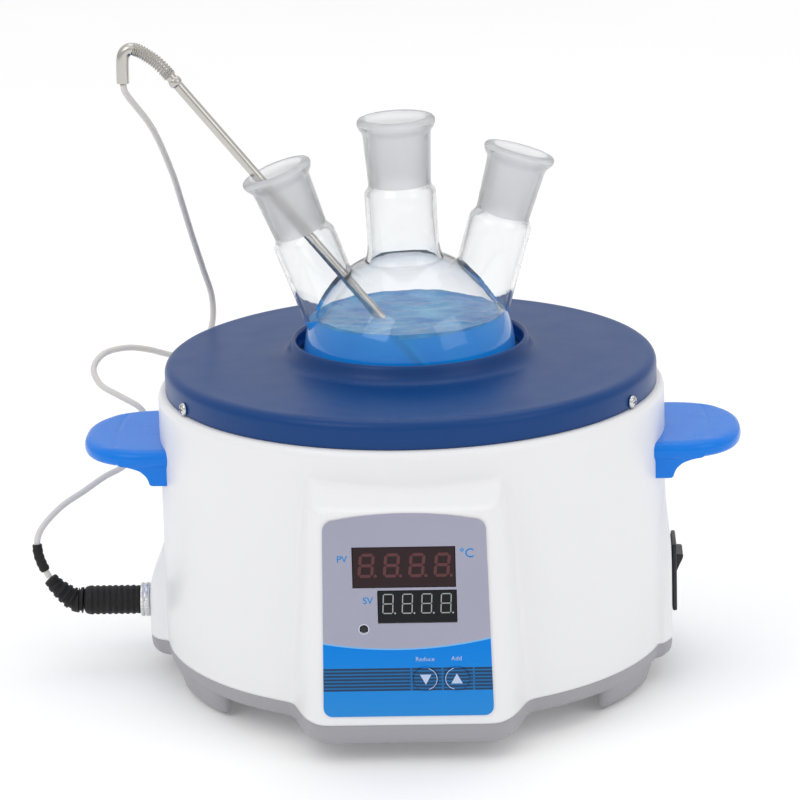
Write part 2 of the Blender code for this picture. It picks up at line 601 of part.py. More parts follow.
def electronics():
    board_y = FACE_Y + 15.5
    for name, (a, b, c, d) in (("pv_display", PV), ("sv_display", SV)):
        box(name, a, b, FACE_Y - 0.7, board_y - GAP, c, d, "black")
    led = [(0, 0), (1.5, 0), (1.9, 0.5), (1.9, 14.0), (0, 14.0)]
    lathe("status_led", led, "black", 16, along((LED_X, FACE_Y - 0.9, LED_Z), (0, 1, 0)))
    for name, x in zip(("down_key", "up_key"), KEY_X):
        key = [(0, 0), (R_KEY - 0.5, 0), (R_KEY, 0.4), (R_KEY, 2.9), (0, 2.9)]
        front = Vector((x, FACE_Y - 1.7, KEY_Z))
        move_origin(lathe(name, key, "panel", 24, along(front, (0, 1, 0))), front)
        y0 = FACE_Y + 2.1
        switch = box(f"{name}_switch", x - 3.0, x + 3.0, y0 + 1.4, board_y - GAP, KEY_Z - 3, KEY_Z + 3, "black")
        join(switch, rod(f"{name}_stem", 1.7, 3.0, "black", along((x, y0, KEY_Z), (0, 1, 0)), 16, True))
    box("control_board", -40, 40, board_y, board_y + 1.6, 27, 119, "board")
    transformer = box("transformer", -68, -26, 34, 68, 15.4, 49, "element")
    join(transformer, box("winding", -72, -22, 40, 62, 21, 43, "element", True))
    fins = [(26, 30)]
    for i in range(7):
        x = 26 + 6 * i
        fins += [(x, 52), (x + 2, 52), (x + 2, 34), (x + 6, 34)] if i < 6 else [(x, 52), (x + 2, 52), (x + 2, 30)]
    prism("heat_sink", fins, 15.4, 55, "steel")
    box("triac", 36, 46.4, 25.2, 29.7, 24, 40, "black")
    block = box("terminal_block", -24, 24, 78, 96, 15.4, 30, "white")
    for i in range(5):
        cut(block, box(f"terminal_slot_{i}", -20.6 + 9 * i, -15.4 + 9 * i, 84, 90, 24, 34, helper=True))


def power_entry():
    inlet = box("mains_inlet", -28.6, -0.8, REAR_Y - 22, REAR_Y + 2.6, 34.0, 54.0, "black")
    join(inlet, box("inlet_flange", -34.0, 4.6, REAR_Y + GAP, REAR_Y + 2.6, 31.0, 57.0, helper=True))
    cut(inlet, box("inlet_pocket", -26.4, -3.0, REAR_Y - 14, REAR_Y + 4, 36.2, 51.8, helper=True))
    for i, (x, z) in enumerate(((-21.7, 42.5), (-7.7, 42.5), (-14.7, 46.5))):
        join(inlet, box(f"pin_{i}", x - 1, x + 1, REAR_Y - 15, REAR_Y - 1, z - 2, z + 2, helper=True))
    fuse = [(0, 0), (5.8, 0), (5.8, 26.3), (7.4, 26.3), (7.4, 28.2), (6.4, 30.2), (0, 30.2)]
    lathe("fuse_holder", fuse, "black", 20, along((22, REAR_Y - 26, 44), (0, 1, 0)))


def power_switch():
    x, y, z = SWITCH_X, ROCKER_Y, ROCKER_Z
    bezel = box("switch_bezel", x - 17, x + 2.6, y - 10.8, y + 10.8, z - 15.9, z + 15.9, "black")
    join(bezel, box("bezel_flange", x + GAP, x + 2.6, y - 12.6, y + 12.6, z - 17.4, z + 17.4, helper=True))
    cut(bezel, box("bezel_pocket", x - 14, x + 6, y - 9.4, y + 9.4, z - 14.5, z + 14.5, helper=True))
    outline = [(-4.5, -5), (-4.5, 5), (2.5, 12.2), (10.6, 12.4), (8.6, 4.5), (8.2, 0), (8.6, -4.5), (10.6, -12.4),
               (2.5, -12.2)]
    c, s = math.cos(ROCKER_REST), math.sin(ROCKER_REST)
    turned = [(ROCKER_X + u * c + v * s, z - u * s + v * c) for u, v in outline]
    move_origin(prism("rocker", turned, y - 8.9, y + 8.9, "black", axis="Y"), (ROCKER_X, y, z))


def main():
    clear_scene()
    pierce_housing(housing())
    top_cover()
    for i, (direction, point) in enumerate(cover_screw_places()):
        screw(f"cover_screw_{i + 1}", point, direction, 3.2, 2.1, 1.6, 7.4)
    base_tray()
    feet_and_tray_screws()
    handles()
    heater()
    flask_and_liquid()
    probe()
    lead()
    panel()
    electronics()
    power_entry()
    power_switch()


main()
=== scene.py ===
import json
from math import copysign, cos, exp, hypot, pi, radians, sin

import bmesh
import bpy
import numpy as np
from mathutils import Matrix, Vector, noise


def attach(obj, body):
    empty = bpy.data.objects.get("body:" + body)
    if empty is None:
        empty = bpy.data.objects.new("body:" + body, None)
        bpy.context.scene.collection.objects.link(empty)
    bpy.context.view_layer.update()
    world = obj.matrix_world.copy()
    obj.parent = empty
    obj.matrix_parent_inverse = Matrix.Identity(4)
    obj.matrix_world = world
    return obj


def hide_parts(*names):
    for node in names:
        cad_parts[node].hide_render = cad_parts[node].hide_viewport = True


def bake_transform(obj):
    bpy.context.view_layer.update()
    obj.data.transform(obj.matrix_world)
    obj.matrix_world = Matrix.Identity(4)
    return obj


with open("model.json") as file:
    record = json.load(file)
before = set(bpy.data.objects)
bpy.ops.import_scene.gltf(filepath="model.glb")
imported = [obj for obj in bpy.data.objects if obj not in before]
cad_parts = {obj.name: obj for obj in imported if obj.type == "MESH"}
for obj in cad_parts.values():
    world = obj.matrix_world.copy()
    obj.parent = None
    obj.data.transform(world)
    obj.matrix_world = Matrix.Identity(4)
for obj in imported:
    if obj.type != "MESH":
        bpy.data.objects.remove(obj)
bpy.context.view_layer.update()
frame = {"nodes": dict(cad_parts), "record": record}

scene = bpy.context.scene
MM = 0.001

# ---- sizes shared with the CAD, mm ----
R_HOUSING, R_COVER = 126.5, 122.8
FACE_Y, REAR_Y, POD_X, SWITCH_X = -145.5, 143.0, -135.4, 129.0
CENTRE = Vector((0.0, 0.0, 163.1))
R_BULB, R_BULB_IN, LEVEL = 53.0, 50.6, 20.3
LEAN, TURN, TILT = (radians(a) for a in (2.0, 8.5, 18.5))
SIDE_OFFSET, NECK_TOP, SIDE_TOP = 27.9, 120.3, 104.3
PROBE_DIR = Vector((-0.6242, -0.022, 0.7809)).normalized()
PROBE_TIP = CENTRE + Vector((11.0, -4.9, -11.2))
SHAFT_LEN = 203.0
KEY_Z, KEY_X, R_KEY = 43.2, (8.5, 23.2), 5.9
LED_X, LED_Z = -20.1, 68.2
PV = (-24.6, 23.5, 88.8, 108.4)
SV = (-13.1, 23.8, 71.2, 87.0)
ROCKER_X, ROCKER_Y, ROCKER_Z, ROCKER_REST = 122.6, -5.0, 48.5, radians(10.0)
LEGS, R_FOOT_CIRCLE = (-28.3, 28.3, 151.7, 208.3), 111.6
PLUG_Y, PLUG_Z = 6.0, 33.6


# ---- procedural materials ----

def linear(rgb):
    """sRGB 0-255 to scene-linear RGBA."""
    found = [c / 255 for c in rgb]
    return (*[c / 12.92 if c <= 0.04045 else ((c + 0.055) / 1.055) ** 2.4 for c in found], 1.0)


class Tree:
    """Short names for the nodes of one material."""

    def __init__(self, name):
        self.mat = bpy.data.materials.new(name)
        self.mat.use_nodes = True
        self.nodes = self.mat.node_tree.nodes
        self.link = self.mat.node_tree.links.new
        self.out = self.nodes["Principled BSDF"]
        self.place = self.nodes.new("ShaderNodeTexCoord").outputs["Object"]

    def put(self, socket, value):
        if isinstance(value, bpy.types.NodeSocket):
            self.link(value, socket)
        else:
            socket.default_value = value

    def math(self, operation, a, b=0.0):
        node = self.nodes.new("ShaderNodeMath")
        node.operation = operation
        for socket, value in zip(node.inputs, (a, b)):
            self.put(socket, value)
        return node.outputs[0]

    def axes(self):
        node = self.nodes.new("ShaderNodeSeparateXYZ")
        self.link(self.place, node.inputs[0])
        return node.outputs

    def mapped(self, scale):
        node = self.nodes.new("ShaderNodeMapping")
        self.link(self.place, node.inputs["Vector"])
        node.inputs["Scale"].default_value = scale
        return node.outputs[0]

    def noise(self, scale, detail=3.0, vector=None):
        node = self.nodes.new("ShaderNodeTexNoise")
        self.link(vector or self.place, node.inputs["Vector"])
        node.inputs["Scale"].default_value = scale
        node.inputs["Detail"].default_value = detail
        node.inputs["Roughness"].default_value = 0.55
        return node.outputs["Fac"]

    def cells(self, scale):
        node = self.nodes.new("ShaderNodeTexVoronoi")
        self.link(self.place, node.inputs["Vector"])
        node.inputs["Scale"].default_value = scale
        return node.outputs["Distance"]

    def wave(self, scale, axis, distort):
        node = self.nodes.new("ShaderNodeTexWave")
        self.link(self.place, node.inputs["Vector"])
        node.bands_direction = axis
        node.inputs["Scale"].default_value = scale
        node.inputs["Distortion"].default_value = distort
        return node.outputs["Fac"]

    def facing(self):
        node = self.nodes.new("ShaderNodeLayerWeight")
        node.inputs["Blend"].default_value = 0.5
        return node.outputs["Facing"]

    def span(self, value, lo, hi, start=0.0, end=1.0):
        node = self.nodes.new("ShaderNodeMapRange")
        self.put(node.inputs["Value"], value)
        for name, number in zip(("From Min", "From Max", "To Min", "To Max"), (start, end, lo, hi)):
            node.inputs[name].default_value = number
        return node.outputs[0]

    def mix(self, factor, a, b):
        node = self.nodes.new("ShaderNodeMix")
        node.data_type = "RGBA"
        self.put(node.inputs[0], factor)
        self.put(node.inputs[6], a)
        self.put(node.inputs[7], b)
        return node.outputs[2]

    def bump(self, height, depth, strength=1.0, under=None):
        node = self.nodes.new("ShaderNodeBump")
        node.inputs["Distance"].default_value = depth
        node.inputs["Strength"].default_value = strength
        self.link(height, node.inputs["Height"])
        if under is not None:
            self.link(under, node.inputs["Normal"])
        return node.outputs[0]

    def set(self, **values):
        names = {"colour": "Base Color", "rough": "Roughness", "metal": "Metallic", "normal": "Normal", "ior": "IOR",
                 "clear": "Transmission Weight", "coat": "Coat Weight", "coat_rough": "Coat Roughness",
                 "spec": "Specular IOR Level", "sheen": "Sheen Weight", "under": "Subsurface Weight",
                 "glow": "Emission Strength", "glow_colour": "Emission Color"}
        for key, value in values.items():
            self.put(self.out.inputs[names[key]], value)
        return self.mat


def shade(colour, factor):
    return (*[min(1.0, c * factor) for c in colour[:3]], 1.0)


def plastic(name, rgb, rough, mottle=0.05, grain=2600.0, depth=0.00002, spread=0.06, **extra):
    """Moulded plastic or paint: a slow tint change, fine surface grain and uneven gloss."""
    t = Tree(name)
    base = linear(rgb)
    slow = t.noise(28.0, 4.0)
    fine = t.noise(grain, 2.0)
    colour = t.mix(slow, shade(base, 1 - mottle), shade(base, 1 + mottle))
    gloss = t.span(t.noise(90.0, 5.0), max(0.02, rough - spread), rough + spread, 0.3, 0.7)
    soft = t.bump(slow, 0.00008, 0.3)
    return t.set(colour=colour, rough=gloss, normal=t.bump(fine, depth, 0.6, soft), **extra)


def metal(name, rgb, rough, stretch=(1, 1, 1), scale=900.0, depth=0.000015):
    """Bare metal with drawn or brushed lines where stretch squeezes the noise."""
    t = Tree(name)
    base = linear(rgb)
    lines = t.noise(scale, 4.0, t.mapped(stretch))
    stain = t.noise(60.0, 4.0)
    colour = t.mix(stain, shade(base, 0.88), shade(base, 1.06))
    gloss = t.span(lines, max(0.02, rough - 0.08), rough + 0.08, 0.3, 0.7)
    return t.set(colour=colour, rough=gloss, metal=1.0, normal=t.bump(lines, depth, 0.5))


def woven(name, rgb, tint, scale):
    """Plain weave of coarse yarn: two crossed sets of bands, with loose fibres and painted shade in the gaps between
    the yarns.
    """
    t = Tree(name)
    a = t.wave(scale, "X", distort=1.5)
    b = t.wave(scale, "Z", distort=1.5)
    c = t.wave(scale, "Y", distort=1.5)
    cloth = t.math("MULTIPLY", t.math("MAXIMUM", a, c), b)
    hair = t.noise(1800.0, 5.0)
    height = t.math("ADD", cloth, t.math("MULTIPLY", hair, 0.5))
    base, other = linear(rgb), linear(tint)
    patch = t.span(t.noise(45.0, 3.0), 0.0, 1.0, 0.35, 0.65)
    colour = t.mix(t.math("MULTIPLY", patch, 0.8), base, other)
    # painted shade: the gaps between the yarns are darkened
    colour = t.mix(t.span(cloth, 0.45, 0.0), colour, shade(base, 0.35))
    return t.set(colour=colour, rough=0.9, sheen=0.25, normal=t.bump(height, 0.0006, 0.9))


def rubber(name, rgb, scale=1500.0):
    t = Tree(name)
    base = linear(rgb)
    fine = t.cells(scale)
    dust = t.span(t.noise(120.0, 6.0), 0.0, 0.35, 0.45, 0.8)
    colour = t.mix(dust, base, shade(base, 2.2))
    return t.set(colour=colour, rough=t.span(t.noise(200.0, 3.0), 0.5, 0.72), normal=t.bump(fine, 0.00006, 0.5),
            spec=0.4)


def clear_glass():
    """Clear wall with a painted grey shade towards its silhouette, in place of the dark surroundings seen through the
    edge of a tube.
    """
    t = Tree("borosilicate_glass")
    ripple = t.noise(38.0, 2.0)
    fine = t.noise(240.0, 3.0)
    rim = t.math("POWER", t.facing(), 2.6)
    clean = t.mix(ripple, (0.955, 0.968, 0.975, 1), (0.985, 0.99, 0.995, 1))
    # painted shade: the colour greys towards the silhouette
    colour = t.mix(t.math("MULTIPLY", rim, 0.62), clean, linear((140, 144, 156)))
    gloss = t.span(fine, 0.0, 0.03, 0.4, 0.8)
    return t.set(colour=colour, rough=gloss, clear=t.span(rim, 0.99, 0.84), ior=1.47,
            normal=t.bump(ripple, 0.0012, 0.25))


def ground_glass():
    t = Tree("ground_glass")
    grit = t.noise(4200.0, 2.0)
    cloud = t.noise(70.0, 4.0)
    rim = t.math("POWER", t.facing(), 2.0)
    frost = t.mix(cloud, (0.92, 0.92, 0.935, 1), (0.97, 0.97, 0.98, 1))
    # painted shade: the frosted colour greys towards the silhouette
    colour = t.mix(t.math("MULTIPLY", rim, 0.3), frost, linear((176, 176, 186)))
    gloss = t.span(cloud, 0.38, 0.55, 0.3, 0.7)
    return t.set(colour=colour, rough=gloss, clear=0.66, ior=1.45, normal=t.bump(grit, 0.00004, 0.5))


def blue_liquid():
    t = Tree("blue_liquid")
    # painted light: the colour pales towards the top of the liquid
    depth = t.span(t.axes()["Z"], 0.0, 1.0, 0.150, 0.186)
    swirl = t.span(t.noise(32.0, 3.0), 0.0, 0.6, 0.35, 0.75)
    deep, pale = linear((0, 122, 216)), linear((0, 178, 246))
    colour = t.mix(t.math("MULTIPLY", t.math("ADD", depth, swirl), 0.55), deep, pale)
    # painted light: the liquid glows in its own colour though it is no lamp
    return t.set(colour=colour, rough=t.span(t.noise(60.0), 0.0, 0.04), clear=0.66, ior=1.33, glow=0.26,
            glow_colour=colour,
                 normal=t.bump(t.noise(70.0, 2.0), 0.0009, 0.35))


def liquid_surface():
    t = Tree("liquid_surface")
    ripple = t.noise(48.0, 3.0)
    # painted highlight: the ripples are painted paler
    colour = t.mix(t.span(ripple, 0.0, 1.0, 0.35, 0.7), linear((6, 138, 210)), linear((96, 200, 240)))
    # painted light: the surface glows though it is no lamp
    return t.set(colour=colour, rough=t.span(t.noise(60.0), 0.02, 0.08), clear=0.35, ior=1.33, glow=0.12,
            glow_colour=colour,
                 normal=t.bump(ripple, 0.0016, 0.5))


def panel_print():
    """The front film: a grey field over a blue one, with a pale curved border and a band of dark stripes."""
    t = Tree("panel_film")
    axes = t.axes()
    x, z = t.math("MULTIPLY", axes["X"], 1000.0), t.math("MULTIPLY", axes["Z"], 1000.0)

    def inside(value, lo, hi):
        return t.math("MULTIPLY", t.math("GREATER_THAN", value, lo), t.math("LESS_THAN", value, hi))

    dx, dz = t.math("ADD", x, 4.5), t.math("SUBTRACT", z, 252.6)
    reach = t.math("SQRT", t.math("ADD", t.math("MULTIPLY", dx, dx), t.math("MULTIPLY", dz, dz)))
    blue = t.math("GREATER_THAN", reach, 194.6)
    border = inside(reach, 194.2, 194.9)
    tone = t.noise(18.0, 3.0)
    grey = t.mix(tone, linear((160, 160, 180)), linear((170, 170, 188)))
    sea = t.mix(t.span(z, 0.0, 1.0, 26.0, 60.0), linear((44, 138, 214)), linear((4, 128, 222)))
    colour = t.mix(border, t.mix(blue, grey, sea), linear((120, 185, 235)))
    row = t.math("FRACT", t.math("DIVIDE", t.math("SUBTRACT", z, 37.3), 1.73))
    stripe = t.math("MULTIPLY", t.math("LESS_THAN", row, 0.56), inside(z, 37.3, 48.7))
    for gap in (1.7, 16.4, 31.2):
        stripe = t.math("MULTIPLY", stripe, t.math("GREATER_THAN", t.math("ABSOLUTE", t.math("SUBTRACT", x, gap)),
                0.45))
    between = t.mix(inside(z, 37.3, 48.7), colour, linear((38, 108, 168)))
    colour = t.mix(stripe, between, linear((44, 66, 96)))
    fine = t.cells(2600.0)
    return t.set(colour=colour, rough=t.span(t.noise(150.0, 4.0), 0.30, 0.42), normal=t.bump(fine, 0.00002, 0.4),
            spec=0.12)


def lid_paint():
    t = Tree("navy_cover")
    base = linear((0, 60, 122))
    slow = t.noise(9.0, 2.0)
    grain = t.noise(2100.0, 3.0)
    orange = t.cells(900.0)
    height = t.math("ADD", grain, t.math("MULTIPLY", orange, 0.6))
    colour = t.mix(slow, shade(base, 0.95), shade(base, 1.05))
    gloss = t.span(t.noise(60.0, 3.0), 0.30, 0.35, 0.3, 0.7)
    return t.set(colour=colour, rough=gloss, normal=t.bump(height, 0.00002, 0.6), spec=0.28)


MAKE = {
    "clear": clear_glass, "ground": ground_glass, "liquid": blue_liquid, "surface": liquid_surface,
    "panel": panel_print, "lid": lid_paint,
    "white": lambda: plastic("white_housing", (238, 238, 240), 0.34, 0.012, 1900.0, 0.00003),
    "grey": lambda: plastic("grey_tray", (160, 159, 164), 0.42, 0.03, 1700.0, 0.00003),
    "handle": lambda: plastic("blue_handle", (0, 122, 226), 0.24, 0.03, 2200.0, 0.000012, 0.05, spec=0.25, coat=0.08,
            coat_rough=0.14),
    "black": lambda: plastic("black_plastic", (20, 20, 22), 0.36, 0.10, 1500.0, 0.00004),
    "window_red": lambda: plastic("red_display_window", (44, 28, 32), 0.2, 0.12, 3000.0, 0.000006, spec=0.2),
    "window": lambda: plastic("display_window", (19, 20, 26), 0.2, 0.12, 3000.0, 0.000006, spec=0.2),
    "digit_red": lambda: plastic("red_segment", (84, 31, 37), 0.3, 0.10),
    "digit_pale": lambda: plastic("pale_segment", (158, 166, 166), 0.3, 0.06),
    "ink_blue": lambda: plastic("blue_ink", (34, 112, 190), 0.4, 0.08),
    "ink_halo": lambda: plastic("light_blue_ink", (142, 186, 226), 0.4, 0.05),
    "ink_pale": lambda: plastic("pale_ink", (186, 200, 232), 0.4, 0.05),
    "ink_white": lambda: plastic("white_ink", (214, 220, 236), 0.4, 0.04),
    "lens": lambda: plastic("status_lens", (12, 10, 26), 0.12, 0.1, 3000.0, 0.000006),
    "steel": lambda: metal("probe_steel", (200, 197, 192), 0.2, (0.08, 1, 0.08), 700.0),
    "wire": lambda: metal("spring_wire", (186, 182, 176), 0.26, (1, 1, 1), 1200.0),
    "chrome": lambda: metal("plated_metal", (222, 222, 224), 0.14, (1, 1, 0.05), 800.0),
    "screw": lambda: metal("screw_metal", (214, 214, 216), 0.18, (1, 1, 1), 700.0),
    "brass": lambda: metal("inlet_pin_metal", (200, 190, 160), 0.25, (1, 0.1, 1), 900.0),
    "alloy": lambda: metal("extruded_aluminium", (190, 190, 194), 0.35, (1, 1, 0.05), 900.0),
    "core": lambda: metal("core_steel", (96, 88, 80), 0.5, (1, 1, 12), 500.0, 0.0001),
    "element": lambda: metal("element_wire", (120, 100, 84), 0.55, (1, 1, 1), 600.0, 0.00005),
    "jacket": lambda: plastic("lead_jacket", (212, 210, 207), 0.36, 0.03, 1400.0, 0.00003, under=0.05),
    "boot": lambda: rubber("boot_rubber", (17, 15, 17)),
    "foot": lambda: rubber("foot_rubber", (30, 30, 33), 1100.0),
    "cloth": lambda: woven("glass_cloth", (206, 224, 226), (70, 160, 190), 170.0),
    "wool": lambda: woven("glass_wool", (232, 224, 186), (210, 196, 150), 60.0),
    "board": lambda: plastic("circuit_board", (20, 92, 52), 0.3, 0.12, 800.0, 0.00005),
    "cream": lambda: plastic("terminal_plastic", (226, 224, 214), 0.4, 0.04),
}
made = {}


def material(kind):
    if kind not in made:
        made[kind] = MAKE[kind]()
    return made[kind]


# ---- mesh helpers, in mm ----

def build(name, verts, faces, kinds, body="mantle", replaces=(), slot=None, angle=38.0, keep=True):
    """A piece from millimetre points. keep=False leaves it as a helper for a Boolean."""
    mesh = bpy.data.meshes.new(name)
    mesh.from_pydata([tuple(c * MM for c in v) for v in verts], [], [tuple(int(i) for i in f) for f in faces])
    shape = bmesh.new()
    shape.from_mesh(mesh)
    bmesh.ops.recalc_face_normals(shape, faces=shape.faces)
    shape.to_mesh(mesh)
    shape.free()
    obj = bpy.data.objects.new(name, mesh)
    scene.collection.objects.link(obj)
    if not keep:
        return obj
    return dress(obj, kinds, body, replaces, angle)


def tool(verts, faces, name="tool"):
    """A helper solid for a Boolean, or the start of a piece that is dressed later."""
    return build(name, verts, faces, (), keep=False)


def dress(obj, kinds, body, replaces=(), angle=38.0):
    obj.data.materials.clear()
    for kind in ([kinds] if isinstance(kinds, str) else kinds):
        obj.data.materials.append(material(kind))
    obj.data.shade_smooth()
    obj.data.set_sharp_from_angle(angle=radians(angle))
    if body:
        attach(obj, body)
    if replaces:
        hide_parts(*([replaces] if isinstance(replaces, str) else replaces))
    return obj


def baked(obj):
    """Applies every modifier of a mesh object."""
    graph = bpy.context.evaluated_depsgraph_get()
    mesh = bpy.data.meshes.new_from_object(obj.evaluated_get(graph))
    obj.modifiers.clear()
    old, obj.data = obj.data, mesh
    bpy.data.meshes.remove(old)
    return obj


def drop(*objs):
    for obj in objs:
        mesh = obj.data
        bpy.data.objects.remove(obj, do_unlink=True)
        bpy.data.meshes.remove(mesh)


def boolean(obj, operation, *tools):
    """Applies a Boolean with each tool and deletes the tools."""
    for tool in tools:
        modifier = obj.modifiers.new("cut", "BOOLEAN")
        modifier.operation, modifier.solver, modifier.object = operation, "EXACT", tool
        bpy.context.view_layer.update()
        baked(obj)
    drop(*tools)
    return obj


def merged(*objs):
    """One mesh from several, in world space."""
    first, verts, faces = objs[0], [], []
    for obj in objs:
        start = len(verts)
        verts += [v.co.copy() for v in obj.data.vertices]
        faces += [[start + i for i in p.vertices] for p in obj.data.polygons]
    mesh = bpy.data.meshes.new(first.name)
    mesh.from_pydata(verts, [], faces)
    name = first.name
    drop(*objs)
    obj = bpy.data.objects.new(name, mesh)
    scene.collection.objects.link(obj)
    return obj


def ring_faces(rings, closed_profile=True):
    faces = []
    pairs = list(zip(rings, rings[1:])) + ([(rings[-1], rings[0])] if closed_profile else [])
    for a, b in pairs:
        if len(a) == 1 and len(b) == 1:
            continue
        count = max(len(a), len(b))
        for i in range(count):
            j = (i + 1) % count
            faces.append(list(dict.fromkeys([a[i % len(a)], a[j % len(a)], b[j % len(b)], b[i % len(b)]])))
    return faces


def turned(profile, segments=96, matrix=None, wave=None):
    """Points and faces of a closed (radius, height) outline turned about Z. wave(angle, radius) may change a radius."""
    verts, rings = [], []
    for r, z in profile:
        count = 1 if r < 1e-6 else segments
        rings.append(list(range(len(verts), len(verts) + count)))
        for i in range(count):
            a = 2 * pi * i / segments
            q = wave(a, r) if wave and r > 1e-6 else r
            verts.append(Vector((q * cos(a), q * sin(a), z)))
    if matrix is not None:
        verts = [matrix @ v for v in verts]
    return verts, ring_faces(rings)


def rounded(profile, radius, steps=4):
    """The outline with its corners rounded; a corner on the axis stays."""
    found, count = [], len(profile)
    for i, here in enumerate(profile):
        p = Vector(here)
        a, b = Vector(profile[i - 1]), Vector(profile[(i + 1) % count])
        if p.x < 1e-6:
            found.append(tuple(p))
            continue
        cut = min(radius, (a - p).length * 0.45, (b - p).length * 0.45)
        start, end = p + (a - p).normalized() * cut, p + (b - p).normalized() * cut
        for k in range(steps + 1):
            t = k / steps
            found.append(tuple(start * (1 - t) ** 2 + p * 2 * t * (1 - t) + end * t * t))
    return found


def frames(points):
    last = len(points) - 1
    tangents = [(points[min(i + 1, last)] - points[max(i - 1, 0)]).normalized() for i in range(last + 1)]
    side, found = tangents[0].orthogonal().normalized(), []
    for point, tangent in zip(points, tangents):
        side = (side - tangent * side.dot(tangent)).normalized()
        found.append((point, side, tangent.cross(side)))
    return found


def swept(points, radii, sides=16, bore=None):
    """A round bar along a path, or a tube if bore gives its inner radius."""
    points = [Vector(p) for p in points]
    if not hasattr(radii, "__len__"):
        radii = [radii] * len(points)
    verts, rings, places = [], [], list(zip(frames(points), radii))

    def ring(place, radius):
        point, side, up = place
        rings.append(list(range(len(verts), len(verts) + sides)))
        for i in range(sides):
            a = 2 * pi * i / sides
            verts.append(point + side * radius * cos(a) + up * radius * sin(a))

    if bore is None:
        verts.append(points[0].copy())
        rings.append([0])
    for place, radius in places:
        ring(place, radius)
    if bore is None:
        rings.append([len(verts)])
        verts.append(points[-1].copy())
    else:
        for place, _ in reversed(places):
            ring(place, bore)
    return verts, ring_faces(rings, bore is not None)


def smooth_path(points, steps):
    pts = [Vector(p) for p in points]
    pts = [2 * pts[0] - pts[1]] + pts + [2 * pts[-1] - pts[-2]]
    path = []
    for a, b, c, d in zip(pts, pts[1:], pts[2:], pts[3:]):
        for i in range(steps):
            t = i / steps
            path.append(0.5 * (2 * b + (c - a) * t + (2 * a - 5 * b + 4 * c - d) * t**2 + (3 * b - a - 3 * c + d) * t**3))
    return path + [pts[-2]]


def run_length(path):
    return sum((b - a).length for a, b in zip(path, path[1:]))


def along(point, direction):
    turn = Vector(direction).to_track_quat("Z", "Y").to_matrix().to_4x4()
    return Matrix.Translation(Vector(point)) @ turn


def slab(outline, w0, w1, axis="Z"):
    """Points and faces of an outline in XY raised along Z, in XZ pushed along Y, or in YZ pushed along X."""
    place = {"Z": lambda u, v, w: (u, v, w), "Y": lambda u, v, w: (u, w, v), "X": lambda u, v, w: (w, u, v)}[axis]
    count = len(outline)
    verts = [place(u, v, w0) for u, v in outline] + [place(u, v, w1) for u, v in outline]
    faces = [list(range(count))[::-1], list(range(count, 2 * count))]
    faces += [[i, (i + 1) % count, count + (i + 1) % count, count + i] for i in range(count)]
    return verts, faces


def block(x0, x1, y0, y1, z0, z1):
    return slab([(x0, y0), (x1, y0), (x1, y1), (x0, y1)], z0, z1)


def soften(obj, width, segments=3, angle=40.0):
    """A rounded edge on every corner sharper than angle."""
    modifier = obj.modifiers.new("edge", "BEVEL")
    modifier.width, modifier.segments, modifier.limit_method = width * MM, segments, "ANGLE"
    modifier.angle_limit, modifier.harden_normals = radians(angle), False
    return obj


# ---- camera, then the sensor lead ----

def camera():
    az, el, roll, distance = radians(2.0), radians(15.14), radians(-1.5), 2.0
    back = Vector((sin(az) * cos(el), -cos(az) * cos(el), sin(el)))
    right0 = Vector((cos(az), sin(az), 0))
    up0 = back.cross(right0)
    right = cos(roll) * right0 + sin(roll) * up0
    up = -sin(roll) * right0 + cos(roll) * up0
    data = bpy.data.cameras.new("camera")
    data.lens, data.sensor_width = 180.1, 36.0
    data.shift_x, data.shift_y = -0.01275, -0.0575
    data.clip_start, data.clip_end = 0.05, 60.0
    obj = bpy.data.objects.new("camera", data)
    scene.collection.objects.link(obj)
    place = Vector((0, 0, 0.1625)) + back * distance
    rows = [[right[i], up[i], back[i], place[i]] for i in range(3)] + [[0, 0, 0, 1]]
    obj.matrix_world = Matrix(rows)
    scene.camera = obj


def probe_point(distance):
    return PROBE_TIP + PROBE_DIR * distance


def elbow_path():
    top, side = probe_point(SHAFT_LEN), Vector((-0.9997, -0.022, 0)).normalized()
    offsets = [(0, 0), (4.4, 4.6), (9.0, 8.0), (13.4, 10.6), (16.8, 11.2), (19.3, 9.8), (20.6, 6.8), (20.9, 2.0),
               (21.0, -5.5)]
    return [top + side * a + Vector((0, 0, b)) for a, b in offsets]


LEAD_START = elbow_path()[-1] + Vector((0, 0, -0.4))
UPPER = [LEAD_START, LEAD_START + Vector((1.5, 2, -6)), (-124.6, 4, 279), (-117.6, 20.0, 254), (-114.6, 38.0, 233.0),
         (-111.8, 56.0, 211.8), (-108.6, 74.0, 190.4), (-106.0, 90.0, 172.0), (-106.8, 102.0, 156.0),
         (-110.0, 107.0, 144.0)]
LOWER = [(-110.3, 107.4, 143.0), (-113.2, 109.2, 136.6), (-120.0, 106.5, 134.0), (-130.4, 98.0, 138.0),
         (-141.0, 91.0, 142.9), (-151.5, 83.0, 146.0), (-162.0, 75.0, 145.2), (-166.8, 67.0, 139.4),
         (-162.5, 59.5, 132.6), (-151.7, 53.5, 127.8), (-141.5, 49.5, 122.5), (-137.5, 48.0, 113.0),
         (-141.5, 47.5, 101.0), (-152.0, 46.5, 92.0), (-161.0, 43.0, 88.0), (-171.0, 34.5, 83.0),
         (-181.0, 24.5, 78.6), (-188.5, 15.5, 72.9), (-192.2, 9.5, 67.9), (-192.8, 6.6, 62.0),
         (-190.9, 6.0, 53.7), (-187.4, 6.0, 46.3)]
R_LEAD = 1.6


